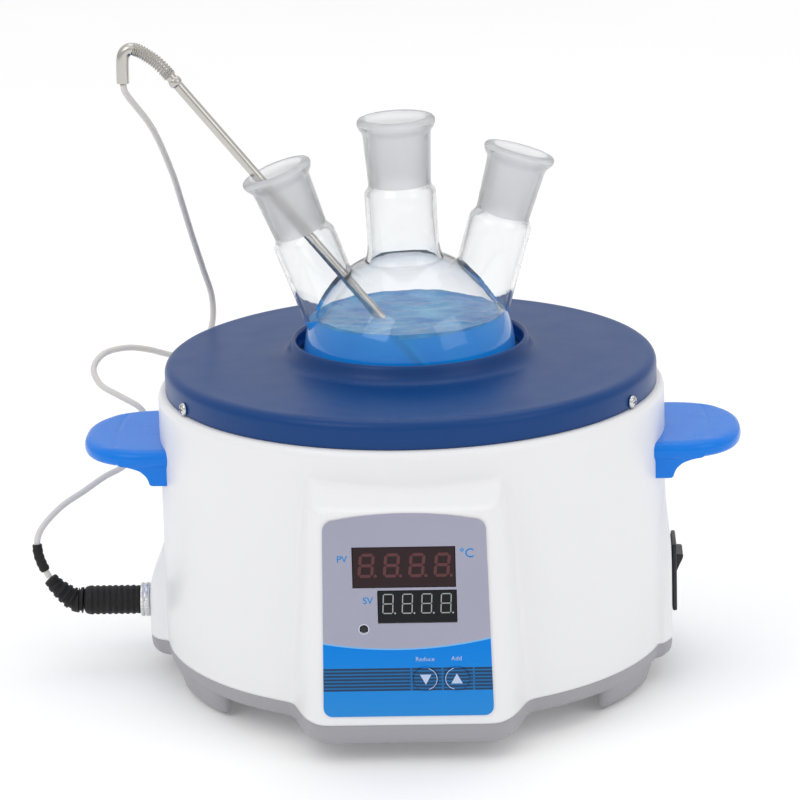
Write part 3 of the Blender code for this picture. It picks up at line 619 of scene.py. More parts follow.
def plug_pieces():
    place = along((POD_X - 34.4, PLUG_Y, PLUG_Z), (1, 0, 0))
    sleeve = smooth_path([(-192.9, 6.9, 63.6), (-192.4, 6.2, 58.6), (-190.9, 6.0, 53.7), (-189.2, 6.0, 49.9)], 6)
    radii = [2.55 + 0.15 * cos(1.6 * i) for i in range(len(sleeve))]
    radii[0] = radii[-1] = 2.3
    pieces = [build("lead_sleeve_ribbed", *swept(sleeve, radii, 20, 1.7), "boot", "mantle", "lead_sleeve",
            "boot_rubber")]
    route = smooth_path([(-187.0, 6, 45.5), (-184.0, 6, 41.7), (-179.4, 6, 37.3), (-174.6, 6, 34.0),
            (-170.2, 6, 33.6)], 16)
    total, done, radii = run_length(route), 0.0, []
    for i, point in enumerate(route):
        done += (point - route[i - 1]).length if i else 0.0
        radii.append(3.4 + 2.6 * done / total + (0.75 if (done % 3.4) < 2.1 else -0.35) * (0.3 + 0.7 * done / total))
    radii[0], radii[-1] = 2.6, 5.6
    pieces.append(build("plug_boot_ribbed", *swept(route, radii, 24), "boot", "mantle", "plug_boot", "boot_rubber",
            50))
    body = [(0, 0), (5.4, 0), (6.7, 0.8), (7.3, 2.4)]
    for i in range(8):
        s = 3.0 + 3.05 * i
        body += [(7.3, s), (7.45, s + 0.3), (7.45, s + 1.2), (7.3, s + 1.5), (7.0, s + 1.8), (7.0, s + 2.6)]
    body += [(7.3, 27.6), (7.1, 28.5), (6.4, 28.8), (0, 28.8)]
    pieces.append(build("sensor_plug_ribbed", *turned(body, 64, place), "boot", "mantle", "sensor_plug",
            "boot_rubber"))
    ring = rounded([(6.3, 29.1), (8.3, 29.1), (8.7, 29.8), (8.7, 30.6), (8.3, 31.0), (8.3, 31.5), (8.7, 31.9),
                    (8.7, 33.3), (8.4, 33.9), (6.3, 33.9)], 0.25, 2)
    grip = lambda a, r: r - (0.16 if r > 8.5 and cos(60 * a) < 0 else 0)
    pieces.append(build("plug_ring_knurled", *turned(ring, 240, place, grip), "chrome", "mantle", "plug_ring",
            "plated_metal"))
    return pieces


def lead():
    upper_path, lower_path = smooth_path(UPPER, 8), smooth_path(LOWER, 8)
    upper = build("probe_lead_upper", *swept(upper_path, R_LEAD, 16), "jacket", None, "lead_upper", "lead_jacket")
    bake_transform(upper)
    lower = build("probe_lead_lower", *swept(lower_path, R_LEAD, 16), "jacket", None, "lead_lower", "lead_jacket")
    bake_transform(lower)
    pieces = plug_pieces()


# ---- mantle body ----

def planes(points):
    """The face planes (normal, distance) of the convex solid around some points."""
    shape = bmesh.new()
    for p in points:
        shape.verts.new(p)
    bmesh.ops.convex_hull(shape, input=shape.verts)
    centre = sum((Vector(p) for p in points), Vector()) / len(points)
    found = []
    for face in shape.faces:
        face.normal_update()
        normal = face.normal.copy()
        if normal.dot(face.calc_center_median() - centre) < 0:
            normal.negate()
        distance = normal.dot(face.verts[0].co)
        if not any((normal - n).length < 0.01 and abs(distance - d) < 0.05 for n, d in found):
            found.append((normal, distance))
    shape.free()
    return found


def front_points():
    points = []
    for s in (-1, 1):
        points += [(s * 44.3, FACE_Y, 0), (s * 49.5, -139.4, 0), (s * 57.7, -112.0, 0), (s * 57.7, -90, 0)]
        points += [(s * 41.5, FACE_Y, 126), (s * 46.0, -139.4, 126), (s * 50.0, -90, 126)]
        points += [(s * 46.0, -121.0, 132), (s * 46.0, -90, 132)]
    return points


def left_points():
    points = [(POD_X, y, z) for y in (-10, 22) for z in (0, 47)]
    points += [(x, y, 0) for x in (-126.5, -95) for y in (-23, 35)]
    return points + [(-126.0, y, 65) for y in (-9, 21)] + [(-95, y, 69) for y in (-11, 23)]


def right_points():
    points = [(SWITCH_X, y, z) for y in (-26, 20) for z in (0, 70)]
    points += [(x, y, 0) for x in (122.0, 95) for y in (-38, 34)]
    return points + [(124.5, y, 96) for y in (-24, 18)] + [(95, y, 100) for y in (-24, 18)]


def rear_points():
    points = [(s * 40, REAR_Y, z) for s in (-1, 1) for z in (0, 66)]
    points += [(s * 50, y, 0) for s in (-1, 1) for y in (116, 90)]
    return points + [(s * 38, 121.5, 82) for s in (-1, 1)] + [(s * 40, 90, 84) for s in (-1, 1)]


# each box, with how sharp its own edges and its join with the barrel are
BOXES = [(front_points, 0.55, 0.30), (left_points, 0.6, 0.45), (right_points, 1.2, 1.3), (rear_points, 0.6, 0.45)]


def outer_radius(angles, heights, barrel):
    """Radius of the moulded body at each height and angle: the barrel with the boxes flowing into it."""
    ux, uy, z = np.cos(angles)[None, :], np.sin(angles)[None, :], heights[:, None]
    out = np.broadcast_to(barrel[:, None], (len(heights), len(angles))).astype(float)
    for points, edge, fillet in BOXES:
        reach = []
        for n, d in planes(points()):
            dot = n.x * ux + n.y * uy
            r = np.where(dot > 0.05, (d - n.z * z) / np.maximum(dot, 0.05), 400.0)
            reach.append(np.clip(r, -400.0, 400.0))
        low = np.min(reach, axis=0)
        soft = low - np.log(sum(np.exp(-edge * (r - low)) for r in reach)) / edge
        high = np.maximum(out, soft)
        out = high + np.log(np.exp(fillet * (out - high)) + np.exp(fillet * (soft - high))) / fillet
    return out


def in_hole(p):
    x, y, z = p
    if y < FACE_Y + 4 and abs(x) < 60:
        for a, b, c, d in (PV, SV):
            if a - 0.4 < x < b + 0.4 and c - 0.4 < z < d + 0.4:
                return True
        holes = [(kx, KEY_Z, R_KEY + 0.4) for kx in KEY_X] + [(LED_X, LED_Z, 2.3)]
        return any(hypot(x - a, z - b) < r for a, b, r in holes)
    if x > SWITCH_X - 4:
        return abs(y - ROCKER_Y) < 11.1 and abs(z - ROCKER_Z) < 16.2
    if x < POD_X + 4:
        return hypot(y - PLUG_Y, z - PLUG_Z) < 6.3
    if y > REAR_Y - 4:
        return (-29.0 < x < -0.4 and 33.6 < z < 54.4) or hypot(x - 22, z - 44) < 6.3
    return False


def housing():
    count = 960
    angles = np.arange(count) * 2 * pi / count
    heights = np.concatenate([np.linspace(19.8, 144.6, 116), [145.2, 146.0, 146.8, 147.4, 147.9, 148.3, 148.6]])
    barrel = np.concatenate([np.full(116, R_HOUSING), [126.5, 126.3, 126.0, 125.7, 125.3, 124.8, 124.1]])
    radius = outer_radius(angles, heights, barrel)
    rings = [(radius[i], h) for i, h in enumerate(heights)] + [(np.full(count, 120.0), 148.6),
            (np.full(count, 120.0), 157.0)]
    verts = [(r[i] * cos(a), r[i] * sin(a), z) for r, z in rings for i, a in enumerate(angles)]
    faces = []
    for k in range(len(rings) - 1):
        for i in range(count):
            j = (i + 1) % count
            face = [k * count + i, k * count + j, (k + 1) * count + j, (k + 1) * count + i]
            middle = [sum(verts[v][c] for v in face) / 4 for c in range(3)]
            if not in_hole(middle):
                faces.append(face)
    obj = build("housing_shell", verts, faces, "white", "mantle", "housing", "white_housing", 60)
    wall = obj.modifiers.new("wall", "SOLIDIFY")
    wall.thickness, wall.offset, wall.use_rim = 2.6 * MM, -1.0, True
    return obj


def tray():
    count = 480
    angles = np.arange(count) * 2 * pi / count
    radius = outer_radius(angles, np.array([20.0]), np.array([R_HOUSING]))[0]
    verts, rings = [], []
    for inset, z in ((126.0, 19.7), (3.0, 19.7), (0.4, 19.7), (0.15, 19.5), (0.15, 17.6), (0.3, 15.9), (0.6, 14.4),
                     (1.2, 13.0), (2.2, 12.1), (3.6, 11.8), (126.0, 11.8)):
        if inset > 100:
            rings.append([len(verts)])
            verts.append((0, 0, z))
            continue
        rings.append(list(range(len(verts), len(verts) + count)))
        for i, a in enumerate(angles):
            x, y = (radius[i] - inset) * cos(a), (radius[i] - inset) * sin(a)
            box = min(1, max(0, (-y - 108) / 10)) * min(1, max(0, (62 - abs(x)) / 8))
            verts.append((x, y, z - 2.2 * box * (19.7 - z) / 7.9))
    parts = [tool(verts, ring_faces(rings, False), "base_tray_moulded")]
    for i, middle in enumerate(LEGS):
        verts, rings = [], []
        for inset, z in ((2.2, 1.0), (0.9, 1.3), (0.2, 2.2), (0.0, 3.4), (0.0, 7.0), (0.0, 11.0), (0.0, 14.0),
                (0.0, 17.0)):
            out = 125.9 - 4.6 * ((17.0 - z) / 16.0) ** 1.3 - inset
            half = radians(12.6 - 0.9 * (17.0 - z) / 16.0) - inset / 122
            ring = []
            for k in range(33):
                t = sin(pi / 2 * (k / 16 - 1))
                ring.append((118.6 + inset * 0.5 + (out - 118.6 - inset) * (1 - abs(t) ** 7) ** 0.45,
                        radians(middle) + half * t))
            ring += [(118.6 + inset * 0.5, radians(middle) + half * (1 - k / 5)) for k in range(1, 10)]
            rings.append(list(range(len(verts), len(verts) + len(ring))))
            verts += [(r * cos(a), r * sin(a), z) for r, a in ring]
        parts.append(tool(verts, ring_faces(rings, False) + [rings[0][::-1], rings[-1]]))
    return dress(merged(*parts), "grey", "mantle", "base_tray", 45)


def feet():
    """Ribbed rubber stops pushed up into the tray beside each leg."""
    for i, middle in enumerate(LEGS):
        a = radians(middle)
        place = Matrix.Translation((R_FOOT_CIRCLE * cos(a), R_FOOT_CIRCLE * sin(a), 0))
        outline = [(0, 0), (5.4, 0), (6.2, 0.5), (6.6, 1.4), (6.6, 11.8), (0, 11.8)]
        ribs = lambda a, r: r - (0.45 if r > 6.5 and cos(18 * a) < 0 else 0)
        build(f"foot_pad_{i + 1}", *turned(outline, 144, place, ribs), "foot", "mantle", f"rubber_foot_{i + 1}",
                "foot_rubber", 50)


def cover():
    profile = [(122.75, 149.0), (122.8, 149.4), (122.8, 157.6), (122.7, 158.8), (122.3, 160.0), (121.6, 161.1),
               (120.6, 161.9), (119.4, 162.35), (118.0, 162.5), (116.0, 162.5), (113.0, 162.45), (108.0, 162.55),
               (92.0, 162.9), (78.0, 163.2), (68.0, 163.5), (65.0, 163.8), (62.8, 164.6), (61.3, 166.0),
               (60.3, 168.0), (59.7, 170.2), (59.2, 171.5), (58.7, 172.05), (58.1, 172.25), (57.4, 172.0),
               (56.85, 171.4), (56.45, 170.4), (56.4, 164.6), (62.0, 162.2), (118.0, 160.0), (120.35, 158.4),
               (120.35, 149.0)]
    build("top_cover_spun", *turned(profile, 256), "lid", "mantle", "top_cover", "navy_cover", 35)


def recess_screw(name, node, point, direction, head_r, head_h, length):
    """A pan head screw with a cross recess."""
    place = along(point, direction)
    head = [(0, -length), (1.3, -length + 1.0), (1.6, -length + 2.0), (1.6, 0.3), (head_r * 0.96, 0.3), (head_r, 0.6)]
    for k in range(7):
        a = radians(15 + 75 * k / 6)
        head.append((head_r * cos(a) ** 0.7, 0.6 + (head_h - 0.3) * sin(a)))
    head[-1] = (0, head[-1][1])
    obj = tool(*turned(head, 40, place), name)
    cutters = []
    for w, d in ((0.45, head_r * 0.62), (head_r * 0.62, 0.45)):
        verts, faces = block(-w, w, -d, d, head_h - 0.7, head_h + 2)
        cutters.append(tool([place @ Vector(v) for v in verts], faces))
    boolean(obj, "DIFFERENCE", *cutters)
    return dress(obj, "screw", "mantle", node)


def screws():
    for i, angle in enumerate((62.2, 117.8, 242.2, 297.8)):
        a = radians(angle)
        way = Vector((sin(a), -cos(a), 0))
        recess_screw(f"cover_screw_head_{i + 1}", f"cover_screw_{i + 1}", way * R_COVER + Vector((0, 0, 152.2)), way,
                3.2, 2.1, 7.4)
    for i, angle in enumerate((45, 135, 225, 315)):
        a = radians(angle)
        recess_screw(f"tray_screw_head_{i + 1}", f"tray_screw_{i + 1}", (118 * cos(a), 118 * sin(a), 12.1),
                (0, 0, -1), 3.4, 2.2, 26.0)


def handle(name, side):
    """A moulded grip: a rounded plate flowing into a deeper root, hollow below, with a shallow groove on top."""
    def plan(inset, root):
        outline = []
        for i in range(49):
            a = pi / 2 - pi * i / 48
            c, s = cos(a), sin(a)
            x = abs(c) ** 0.8 * (38.5 - inset) + 126.0
            if x > root:
                outline.append((x, copysign(abs(s) ** 0.8, s) * (40 - inset)))
        outline = [(root, outline[0][1])] + outline + [(root, outline[-1][1])]
        return [(side * x, y) for x, y in outline]
    layers = [(3.0, 116.7), (1.1, 117.4), (0.2, 118.8), (0.0, 120.4), (0.0, 121.8), (0.7, 123.4), (2.2, 124.7),
            (4.6, 125.2)]
    verts, rings = [], []
    for inset, z in layers:
        outline = plan(inset, 118)
        if rings and len(outline) != len(rings[0]):
            outline = outline[:1] + [outline[1]] * (len(rings[0]) - len(outline)) + outline[1:]
        rings.append(list(range(len(verts), len(verts) + len(outline))))
        verts += [(x, y, z) for x, y in outline]
    faces = ring_faces(rings, False) + [rings[0][::-1], rings[-1]]
    plate = tool(verts, faces, name)
    root = [(118, 106.6), (129.5, 106.6), (130.1, 109.2), (131.5, 112.0), (134.3, 114.4), (138.6, 116.0),
            (145.0, 117.2), (145.0, 119.4), (118, 119.4)]
    hull = tool(*slab([(side * x, z) for x, z in root], -37.6, 37.6, "Y"))
    boolean(plate, "UNION", hull)
    boolean(plate, "DIFFERENCE", tool(*slab(plan(5.0, 141), 110.0, 120.4)))
    remesh = plate.modifiers.new("skin", "REMESH")
    remesh.mode, remesh.voxel_size = "VOXEL", 0.75 * MM
    ease = plate.modifiers.new("ease", "SMOOTH")
    ease.factor, ease.iterations = 0.5, 9
    baked(plate)
    for v in plate.data.vertices:
        x, y, z = (c / MM for c in v.co)
        if z > 123.5 and abs(y) < 31:
            line = side * (148.0 - 0.0022 * y * y)
            fade = min(1.0, (31 - abs(y)) / 4)
            v.co.z -= 0.55 * fade * exp(-((x - line) / 0.9) ** 2) * MM
            if abs(x) > abs(line):
                v.co.z -= 0.25 * fade * MM * min(1.0, (abs(x) - abs(line)) / 2)
    dress(plate, "handle", "mantle", name.replace("_grip", ""), 75)


def handles():
    for name, side in (("handle_left_grip", -1), ("handle_right_grip", 1)):
        handle(name, side)


def arc(radius, start, end, steps):
    found = []
    for i in range(steps + 1):
        a = radians(start + (end - start) * i / steps)
        found.append((radius * sin(a), CENTRE.z - radius * cos(a)))
    return found


def bowl():
    """The knitted glass cloth lining; its top edge is gathered in soft folds round the flask."""
    outline = [(0, CENTRE.z - 56.5)] + arc(56.5, 4, 60, 20) + [
        (58.3, 151.6), (58.5, 157.4), (70.0, 157.4), (70.0, 160.2), (63.0, 160.8), (58.5, 160.9), (56.9, 160.2),
        (56.1, 158.6), (55.7, 156.0), (55.2, 151.6)]
    outline += arc(53.6, 60, 4, 20) + [(0, CENTRE.z - 53.6)]
    folds = lambda a, r: r + (0.35 * sin(46 * a) * sin(7 * a + 1) if 55.0 < r < 63.5 else 0)
    build("bowl_cloth", *turned(outline, 240, None, folds), "cloth", "mantle", "heating_bowl", "glass_cloth", 60)


# ---- flask, liquid, probe ----

def flask_matrix():
    return Matrix.Translation(CENTRE) @ Matrix.Rotation(-LEAN, 4, "Y") @ Matrix.Rotation(TURN, 4, "Z")


def neck_matrices():
    found = [flask_matrix()]
    for side in (-1, 1):
        place = Matrix.Translation((side * SIDE_OFFSET, 0, 0)) @ Matrix.Rotation(side * TILT, 4, "Y")
        found.append(flask_matrix() @ place)
    return found


CENTRE_OUT = [(0, 30), (23.0, 46.0), (20.2, 48.6), (18.7, 51.2), (18.0, 54.5), (17.8, 58), (17.8, 82.4), (17.5, 83.8),
              (16.4, 85.2), (15.7, 86.6), (15.6, 88), (17.0, 112.0), (17.5, 113.8), (18.6, 115.2), (19.2, 116.4),
              (19.45, 117.8), (19.3, 119.1), (18.6, 120.0), (17.6, 120.4), (0, 120.4)]
CENTRE_IN = [(0, 20), (19.6, 44.0), (17.6, 47.5), (16.2, 51.0), (15.6, 55), (15.5, 81.6), (15.0, 83.2), (13.8, 84.8),
             (13.1, 86.2), (13.0, 87.4), (14.6, 118.6), (15.1, 119.8), (16.2, 120.8), (16.8, 122.5), (0, 122.5)]
SIDE_OUT = [(0, 6), (15.9, 6), (15.9, 66.4), (15.5, 68.0), (14.3, 69.6), (13.7, 70.8), (13.6, 72), (14.9, 96.2),
            (15.5, 98.0), (16.8, 99.4), (17.5, 100.6), (17.9, 102.0), (17.7, 103.3), (17.0, 104.1), (16.0, 104.4),
            (0, 104.4)]
SIDE_IN = [(0, 4), (13.9, 4), (13.9, 65.6), (13.4, 67.4), (12.0, 69.0), (11.2, 70.4), (11.0, 71.6), (12.4, 102.4),
           (12.9, 103.6), (14.0, 104.6), (14.6, 106.5), (0, 106.5)]


def ball_profile(radius, steps):
    return [(0, -radius)] + [(radius * sin(pi * i / steps), -radius * cos(pi * i / steps))
                             for i in range(1, steps)] + [(0, radius)]


def vessel(name, grow, outer):
    """The solid inside the flask's outer (or inner) surface."""
    body = tool(*turned(ball_profile((R_BULB if outer else R_BULB_IN) + grow, 72), 144, flask_matrix()), name)
    tools = []
    for i, matrix in enumerate(neck_matrices()):
        profile = ((CENTRE_OUT, CENTRE_IN) if i == 0 else (SIDE_OUT, SIDE_IN))[0 if outer else 1]
        profile = [(r + grow if r else 0, z) for r, z in profile]
        spin = matrix @ Matrix.Rotation(radians(1.1), 4, "Z")
        tools.append(tool(*turned(profile, 96, spin)))
    return boolean(body, "UNION", *tools)


def in_ground_zone(point):
    """True on the inner face of a socket and on its rim."""
    for i, matrix in enumerate(neck_matrices()):
        p = matrix.inverted() @ point
        r = hypot(p.x, p.y)
        lo, top = (86.5, NECK_TOP) if i == 0 else (70.8, SIDE_TOP)
        wall = (13.0 if i == 0 else 11.0) + (p.z - lo) * 0.0505 + 1.1
        if p.z > lo and r < wall + 6 and (r < wall or p.z > top - 2.2):
            return True
    return False


def flask_and_liquid():
    glass = vessel("flask_glass", 0.0, True)
    boolean(glass, "DIFFERENCE", vessel("inside", 0.0, False))
    dress(glass, ["clear", "ground"], "flask", "flask", 32)
    for face in glass.data.polygons:
        face.material_index = 1 if in_ground_zone(face.center / MM) else 0
    liquid = vessel("blue_liquid_fill", 0.22, False)
    size, cells = 116.0, 150
    verts, faces = [], []
    for j in range(cells + 1):
        for i in range(cells + 1):
            x, y = -size + 2 * size * i / cells, -size + 2 * size * j / cells
            rise = 1.5 * exp(-((hypot(x, y) - 47.0) / 2.4) ** 2)
            wave = (0.55 * noise.noise(Vector((x * 0.09, y * 0.14, 3.0)))
                    + 0.3 * noise.noise(Vector((x * 0.25, y * 0.3, 8.0))))
            verts.append((x, y, CENTRE.z + LEVEL + wave + rise))
    for j in range(cells):
        for i in range(cells):
            a = j * (cells + 1) + i
            faces.append([a, a + 1, a + cells + 2, a + cells + 1])
    top = len(verts)
    verts += [(x, y, 330.0) for x, y in ((-size, -size), (size, -size), (size, size), (-size, size))]
    row = cells + 1
    rim = [list(range(0, row)), list(range(row - 1, row * row, row)),
           list(range(row * row - 1, row * row - row - 1, -1)), list(range(row * row - row, -1, -row))]
    for side, edge in enumerate(rim):
        faces.append(edge + [top + (side + 1) % 4, top + side])
    faces.append([top, top + 1, top + 2, top + 3])
    boolean(liquid, "DIFFERENCE", tool(verts, faces))
    dress(liquid, ["liquid", "surface"], "flask", "liquid", 32)
    for face in liquid.data.polygons:
        face.material_index = 1 if face.normal.z > 0.4 and face.center.z / MM > CENTRE.z + LEVEL - 3 else 0


def probe():
    end = SHAFT_LEN - 0.3
    shaft = [(0, 0), (1.3, 0.15), (2.0, 0.7), (2.4, 1.6), (2.5, 2.6), (2.5, end), (0, end)]
    build("probe_tube", *turned(shaft, 48, along(PROBE_TIP, PROBE_DIR)), "steel", "probe", "probe_shaft",
            "probe_steel")
    path = smooth_path(elbow_path(), 10)
    radii = [2.6 if i < 34 else min(3.15, 2.6 + (i - 34) * 0.14) for i in range(len(path))]
    build("probe_elbow_tube", *swept(path, radii, 32), "steel", "probe", "probe_elbow", "probe_steel", 50)
    route = [probe_point(SHAFT_LEN - 3.5 + 0.5 * i) for i in range(7)] + path[:36]
    places = frames(route)
    coil, turns = [], 17
    for k in range(turns * 20 + 1):
        s = k / (turns * 20) * (len(places) - 1)
        i, t = min(int(s), len(places) - 2), s - min(int(s), len(places) - 2)
        point, side, up = (places[i][c].lerp(places[i + 1][c], t) for c in range(3))
        a = 2 * pi * k / 20
        coil.append(point + (side * cos(a) + up * sin(a)) * 2.95)
    build("probe_spring_coil", *swept(coil, 0.46, 8), "wire", "probe", "probe_spring", "probe_steel", 60)
    collar = [(0, -2.2), (2.6, -2.2), (3.1, -1.6), (3.3, -0.5), (3.2, 0.8), (2.7, 1.7), (0, 1.7)]
    build("probe_collar", *turned(collar, 48, along(probe_point(SHAFT_LEN - 7.0), PROBE_DIR)), "steel", "probe", (),
            "probe_steel")


# ---- control panel ----

def quarter(cx, cz, radius, start, steps):
    """Points of a quarter circle from the angle start, for the steps given out of nine."""
    angles = [radians(start + 90 * k / 9) for k in steps]
    return [(cx + radius * cos(a), cz + radius * sin(a)) for a in angles]


def film_outline():
    """Rounded corners below, shoulders and a low arch above."""
    points = [(-36.0, 24.5), (36.0, 24.5)] + quarter(36.0, 28.8, 4.3, -90, range(1, 9))
    points += [(40.3, 29.5), (38.4, 114.5)]
    points += quarter(32.9, 116.4, 5.5, 0, range(1, 10))
    for k in range(1, 16):
        x = 32.9 - 65.8 * k / 16
        points.append((x, 121.9 + 3.2 * (1 - (x / 32.9) ** 2)))
    points += quarter(-32.9, 116.4, 5.5, 90, range(0, 10)) + [(-40.3, 29.5)]
    return points + quarter(-36.0, 28.8, 4.3, 180, range(1, 10))


def face_plate(name, outlines, y, thick, kind, body="mantle"):
    """Flat printed shapes on the control face; outlines are lists of (x, z)."""
    verts, faces = [], []
    for outline in outlines:
        v, f = slab(outline, y - thick, y, "Y")
        start = len(verts)
        verts += v
        faces += [[start + i for i in face] for face in f]
    return build(name, verts, faces, kind, body, (), "panel_film", 30)


def lettering(name, text, x, z, height, kind, y, spread=0.0):
    """Generic wording as a thin printed shape, centred on (x, z)."""
    curve = bpy.data.curves.new(name, "FONT")
    curve.body, curve.size, curve.offset = text, 1.0, spread
    curve.resolution_u = 5
    helper = bpy.data.objects.new(name + "_text", curve)
    scene.collection.objects.link(helper)
    bpy.context.view_layer.update()
    mesh = bpy.data.meshes.new_from_object(helper.evaluated_get(bpy.context.evaluated_depsgraph_get()))
    bpy.data.objects.remove(helper, do_unlink=True)
    bpy.data.curves.remove(curve)
    verts = [v.co.copy() for v in mesh.vertices]
    faces = [list(p.vertices) for p in mesh.polygons]
    bpy.data.meshes.remove(mesh)
    lo = [min(v[i] for v in verts) for i in (0, 1)]
    hi = [max(v[i] for v in verts) for i in (0, 1)]
    k = height / 0.729
    mid = [(a + b) / 2 for a, b in zip(lo, hi)]
    flat = [(x + (v.x - mid[0]) * k, y, z + (v.y - mid[1]) * k) for v in verts]
    obj = build(name, flat, faces, kind, "mantle", (), "panel_film", 30)
    wall = obj.modifiers.new("ink", "SOLIDIFY")
    wall.thickness, wall.offset = 0.05 * MM, 0.0
    return obj


def segment_outline(cx, cz, w, h, t, which, lean):
    """One bar of a seven segment digit as a six-sided outline."""
    g, half = t * 0.5, h / 2
    spots = {"a": (0, half, 1), "g": (0, 0, 1), "d": (0, -half, 1), "b": (w / 2, half / 2, 0),
            "c": (w / 2, -half / 2, 0),
             "e": (-w / 2, -half / 2, 0), "f": (-w / 2, half / 2, 0)}
    x, z, flat = spots[which]
    length = (w if flat else half) / 2 - 0.18
    shape = [(-length, 0), (-length + g, g), (length - g, g), (length, 0), (length - g, -g), (-length + g, -g)]
    shape = [(a, b) if flat else (b, a) for a, b in shape]
    return [(cx + x + a + (z + b) * lean, cz + z + b) for a, b in shape]


def digits(name, centres, cz, w, h, t, kind, lean):
    """Seven-segment digits, each with its point, on a display's face; t is the width of a bar."""
    outlines = []
    point = 0.45 if t < 1 else 0.8
    for cx in centres:
        outlines += [segment_outline(cx, cz, w, h, t, which, lean) for which in "abcdefg"]
        x, z = cx + w / 2 + t * 0.5 + 0.9 - h / 2 * lean, cz - h / 2
        outlines.append([(x + point * cos(radians(a)), z + point * sin(radians(a))) for a in range(0, 360, 30)])
    face_plate(name, outlines, FACE_Y - 0.7, 0.04, kind)


def pierced_film():
    film = tool(*slab(film_outline(), FACE_Y - 0.8, FACE_Y - 0.3, "Y"), "panel_film_sheet")
    tools = []
    for a, b, c, d in (PV, SV):
        tools.append(tool(*block(a - 0.3, b + 0.3, FACE_Y - 4, FACE_Y + 2, c - 0.3, d + 0.3)))
    for x, z, r in [(x, KEY_Z, R_KEY + 0.12) for x in KEY_X] + [(LED_X, LED_Z, 2.2)]:
        tools.append(tool(*turned([(0, 0), (r, 0), (r, 8), (0, 8)], 64, along((x, FACE_Y - 4, z), (0, 1, 0)))))
    boolean(film, "DIFFERENCE", *tools)
    dress(film, "panel", "mantle", "control_panel", 30)


def ring_outlines(cx, cz, r, width, start, end, steps):
    found = []
    for k in range(steps):
        a, b = (radians(start + (end - start) * (k + s) / steps) for s in (0, 1))
        found.append([(cx + (r - width) * cos(a), cz + (r - width) * sin(a)), (cx + r * cos(a), cz + r * sin(a)),
                      (cx + r * cos(b), cz + r * sin(b)), (cx + (r - width) * cos(b), cz + (r - width) * sin(b))])
    return found


def panel():
    pierced_film()
    for node, (a, b, c, d), kind in (("pv_display", PV, "window_red"), ("sv_display", SV, "window")):
        module = build(node + "_module", *block(a, b, FACE_Y - 0.7, FACE_Y + 15.2, c, d), kind, "mantle", node,
                "display_black")
        soften(module, 0.25, 2)
    digits("pv_segments", (-18.2, -6.3, 5.6, 17.5), 99.6, 6.0, 10.4, 1.5, "digit_red", 0.10)
    digits("sv_segments", (-8.4, 0.7, 9.8, 18.9), 80.6, 4.6, 9.4, 0.5, "digit_pale", 0.05)
    lens = [(0, 0), (0.9, 0.05), (1.5, 0.3), (1.8, 0.8), (1.8, 14.0), (0, 14.0)]
    build("status_lens", *turned(lens, 40, along((LED_X, FACE_Y - 1.0, LED_Z), (0, 1, 0))), "lens", "mantle",
            "status_led", "display_black")
    surface = FACE_Y - 0.8
    face_plate("status_ring", ring_outlines(LED_X, LED_Z, 2.55, 0.4, 0, 360, 40), surface, 0.04, "ink_white")
    for name, text, x, z, size in (("pv_word", "PV", -29.4, 103.0, 3.3), ("sv_word", "SV", -17.8, 82.4, 3.3),
                                         ("degree_sign", "°C", 29.2, 105.4, 4.5)):
        lettering(name + "_halo", text, x, z, size, "ink_halo", surface - 0.02, 0.045)
        lettering(name, text, x, z, size, "ink_blue", surface - 0.08)
    lettering("reduce_word", "Reduce", 8.4, 53.0, 2.2, "ink_pale", surface - 0.04)
    lettering("add_word", "Add", 23.1, 53.2, 2.2, "ink_pale", surface - 0.04)
    for body, x, way in (("down_key", KEY_X[0], -1), ("up_key", KEY_X[1], 1)):
        dome = [(0, 0)] + [(R_KEY * 0.97 * k / 6, 0.35 * (k / 6) ** 2) for k in range(1, 7)] + [(R_KEY, 0.75),
                (R_KEY, 2.9), (0, 2.9)]
        build(f"{body}_cap", *turned(dome, 64, along((x, FACE_Y - 1.7, KEY_Z), (0, 1, 0))), "panel", body, body,
                "panel_film", 30)
        front = FACE_Y - 1.58
        face_plate(f"{body}_arrow", [[(x - 2.7, KEY_Z - 2.3 * way), (x + 2.7, KEY_Z - 2.3 * way),
                (x, KEY_Z + 2.7 * way)]], front, 0.14, "ink_pale", body)
        turn = 0 if way < 0 else 180
        face_plate(f"{body}_circle", ring_outlines(x, KEY_Z, 5.5, 0.3, turn - 75, turn + 75, 30), FACE_Y - 1.32, 0.14,
                "ink_pale", body)


# ---- switch and rear entries ----

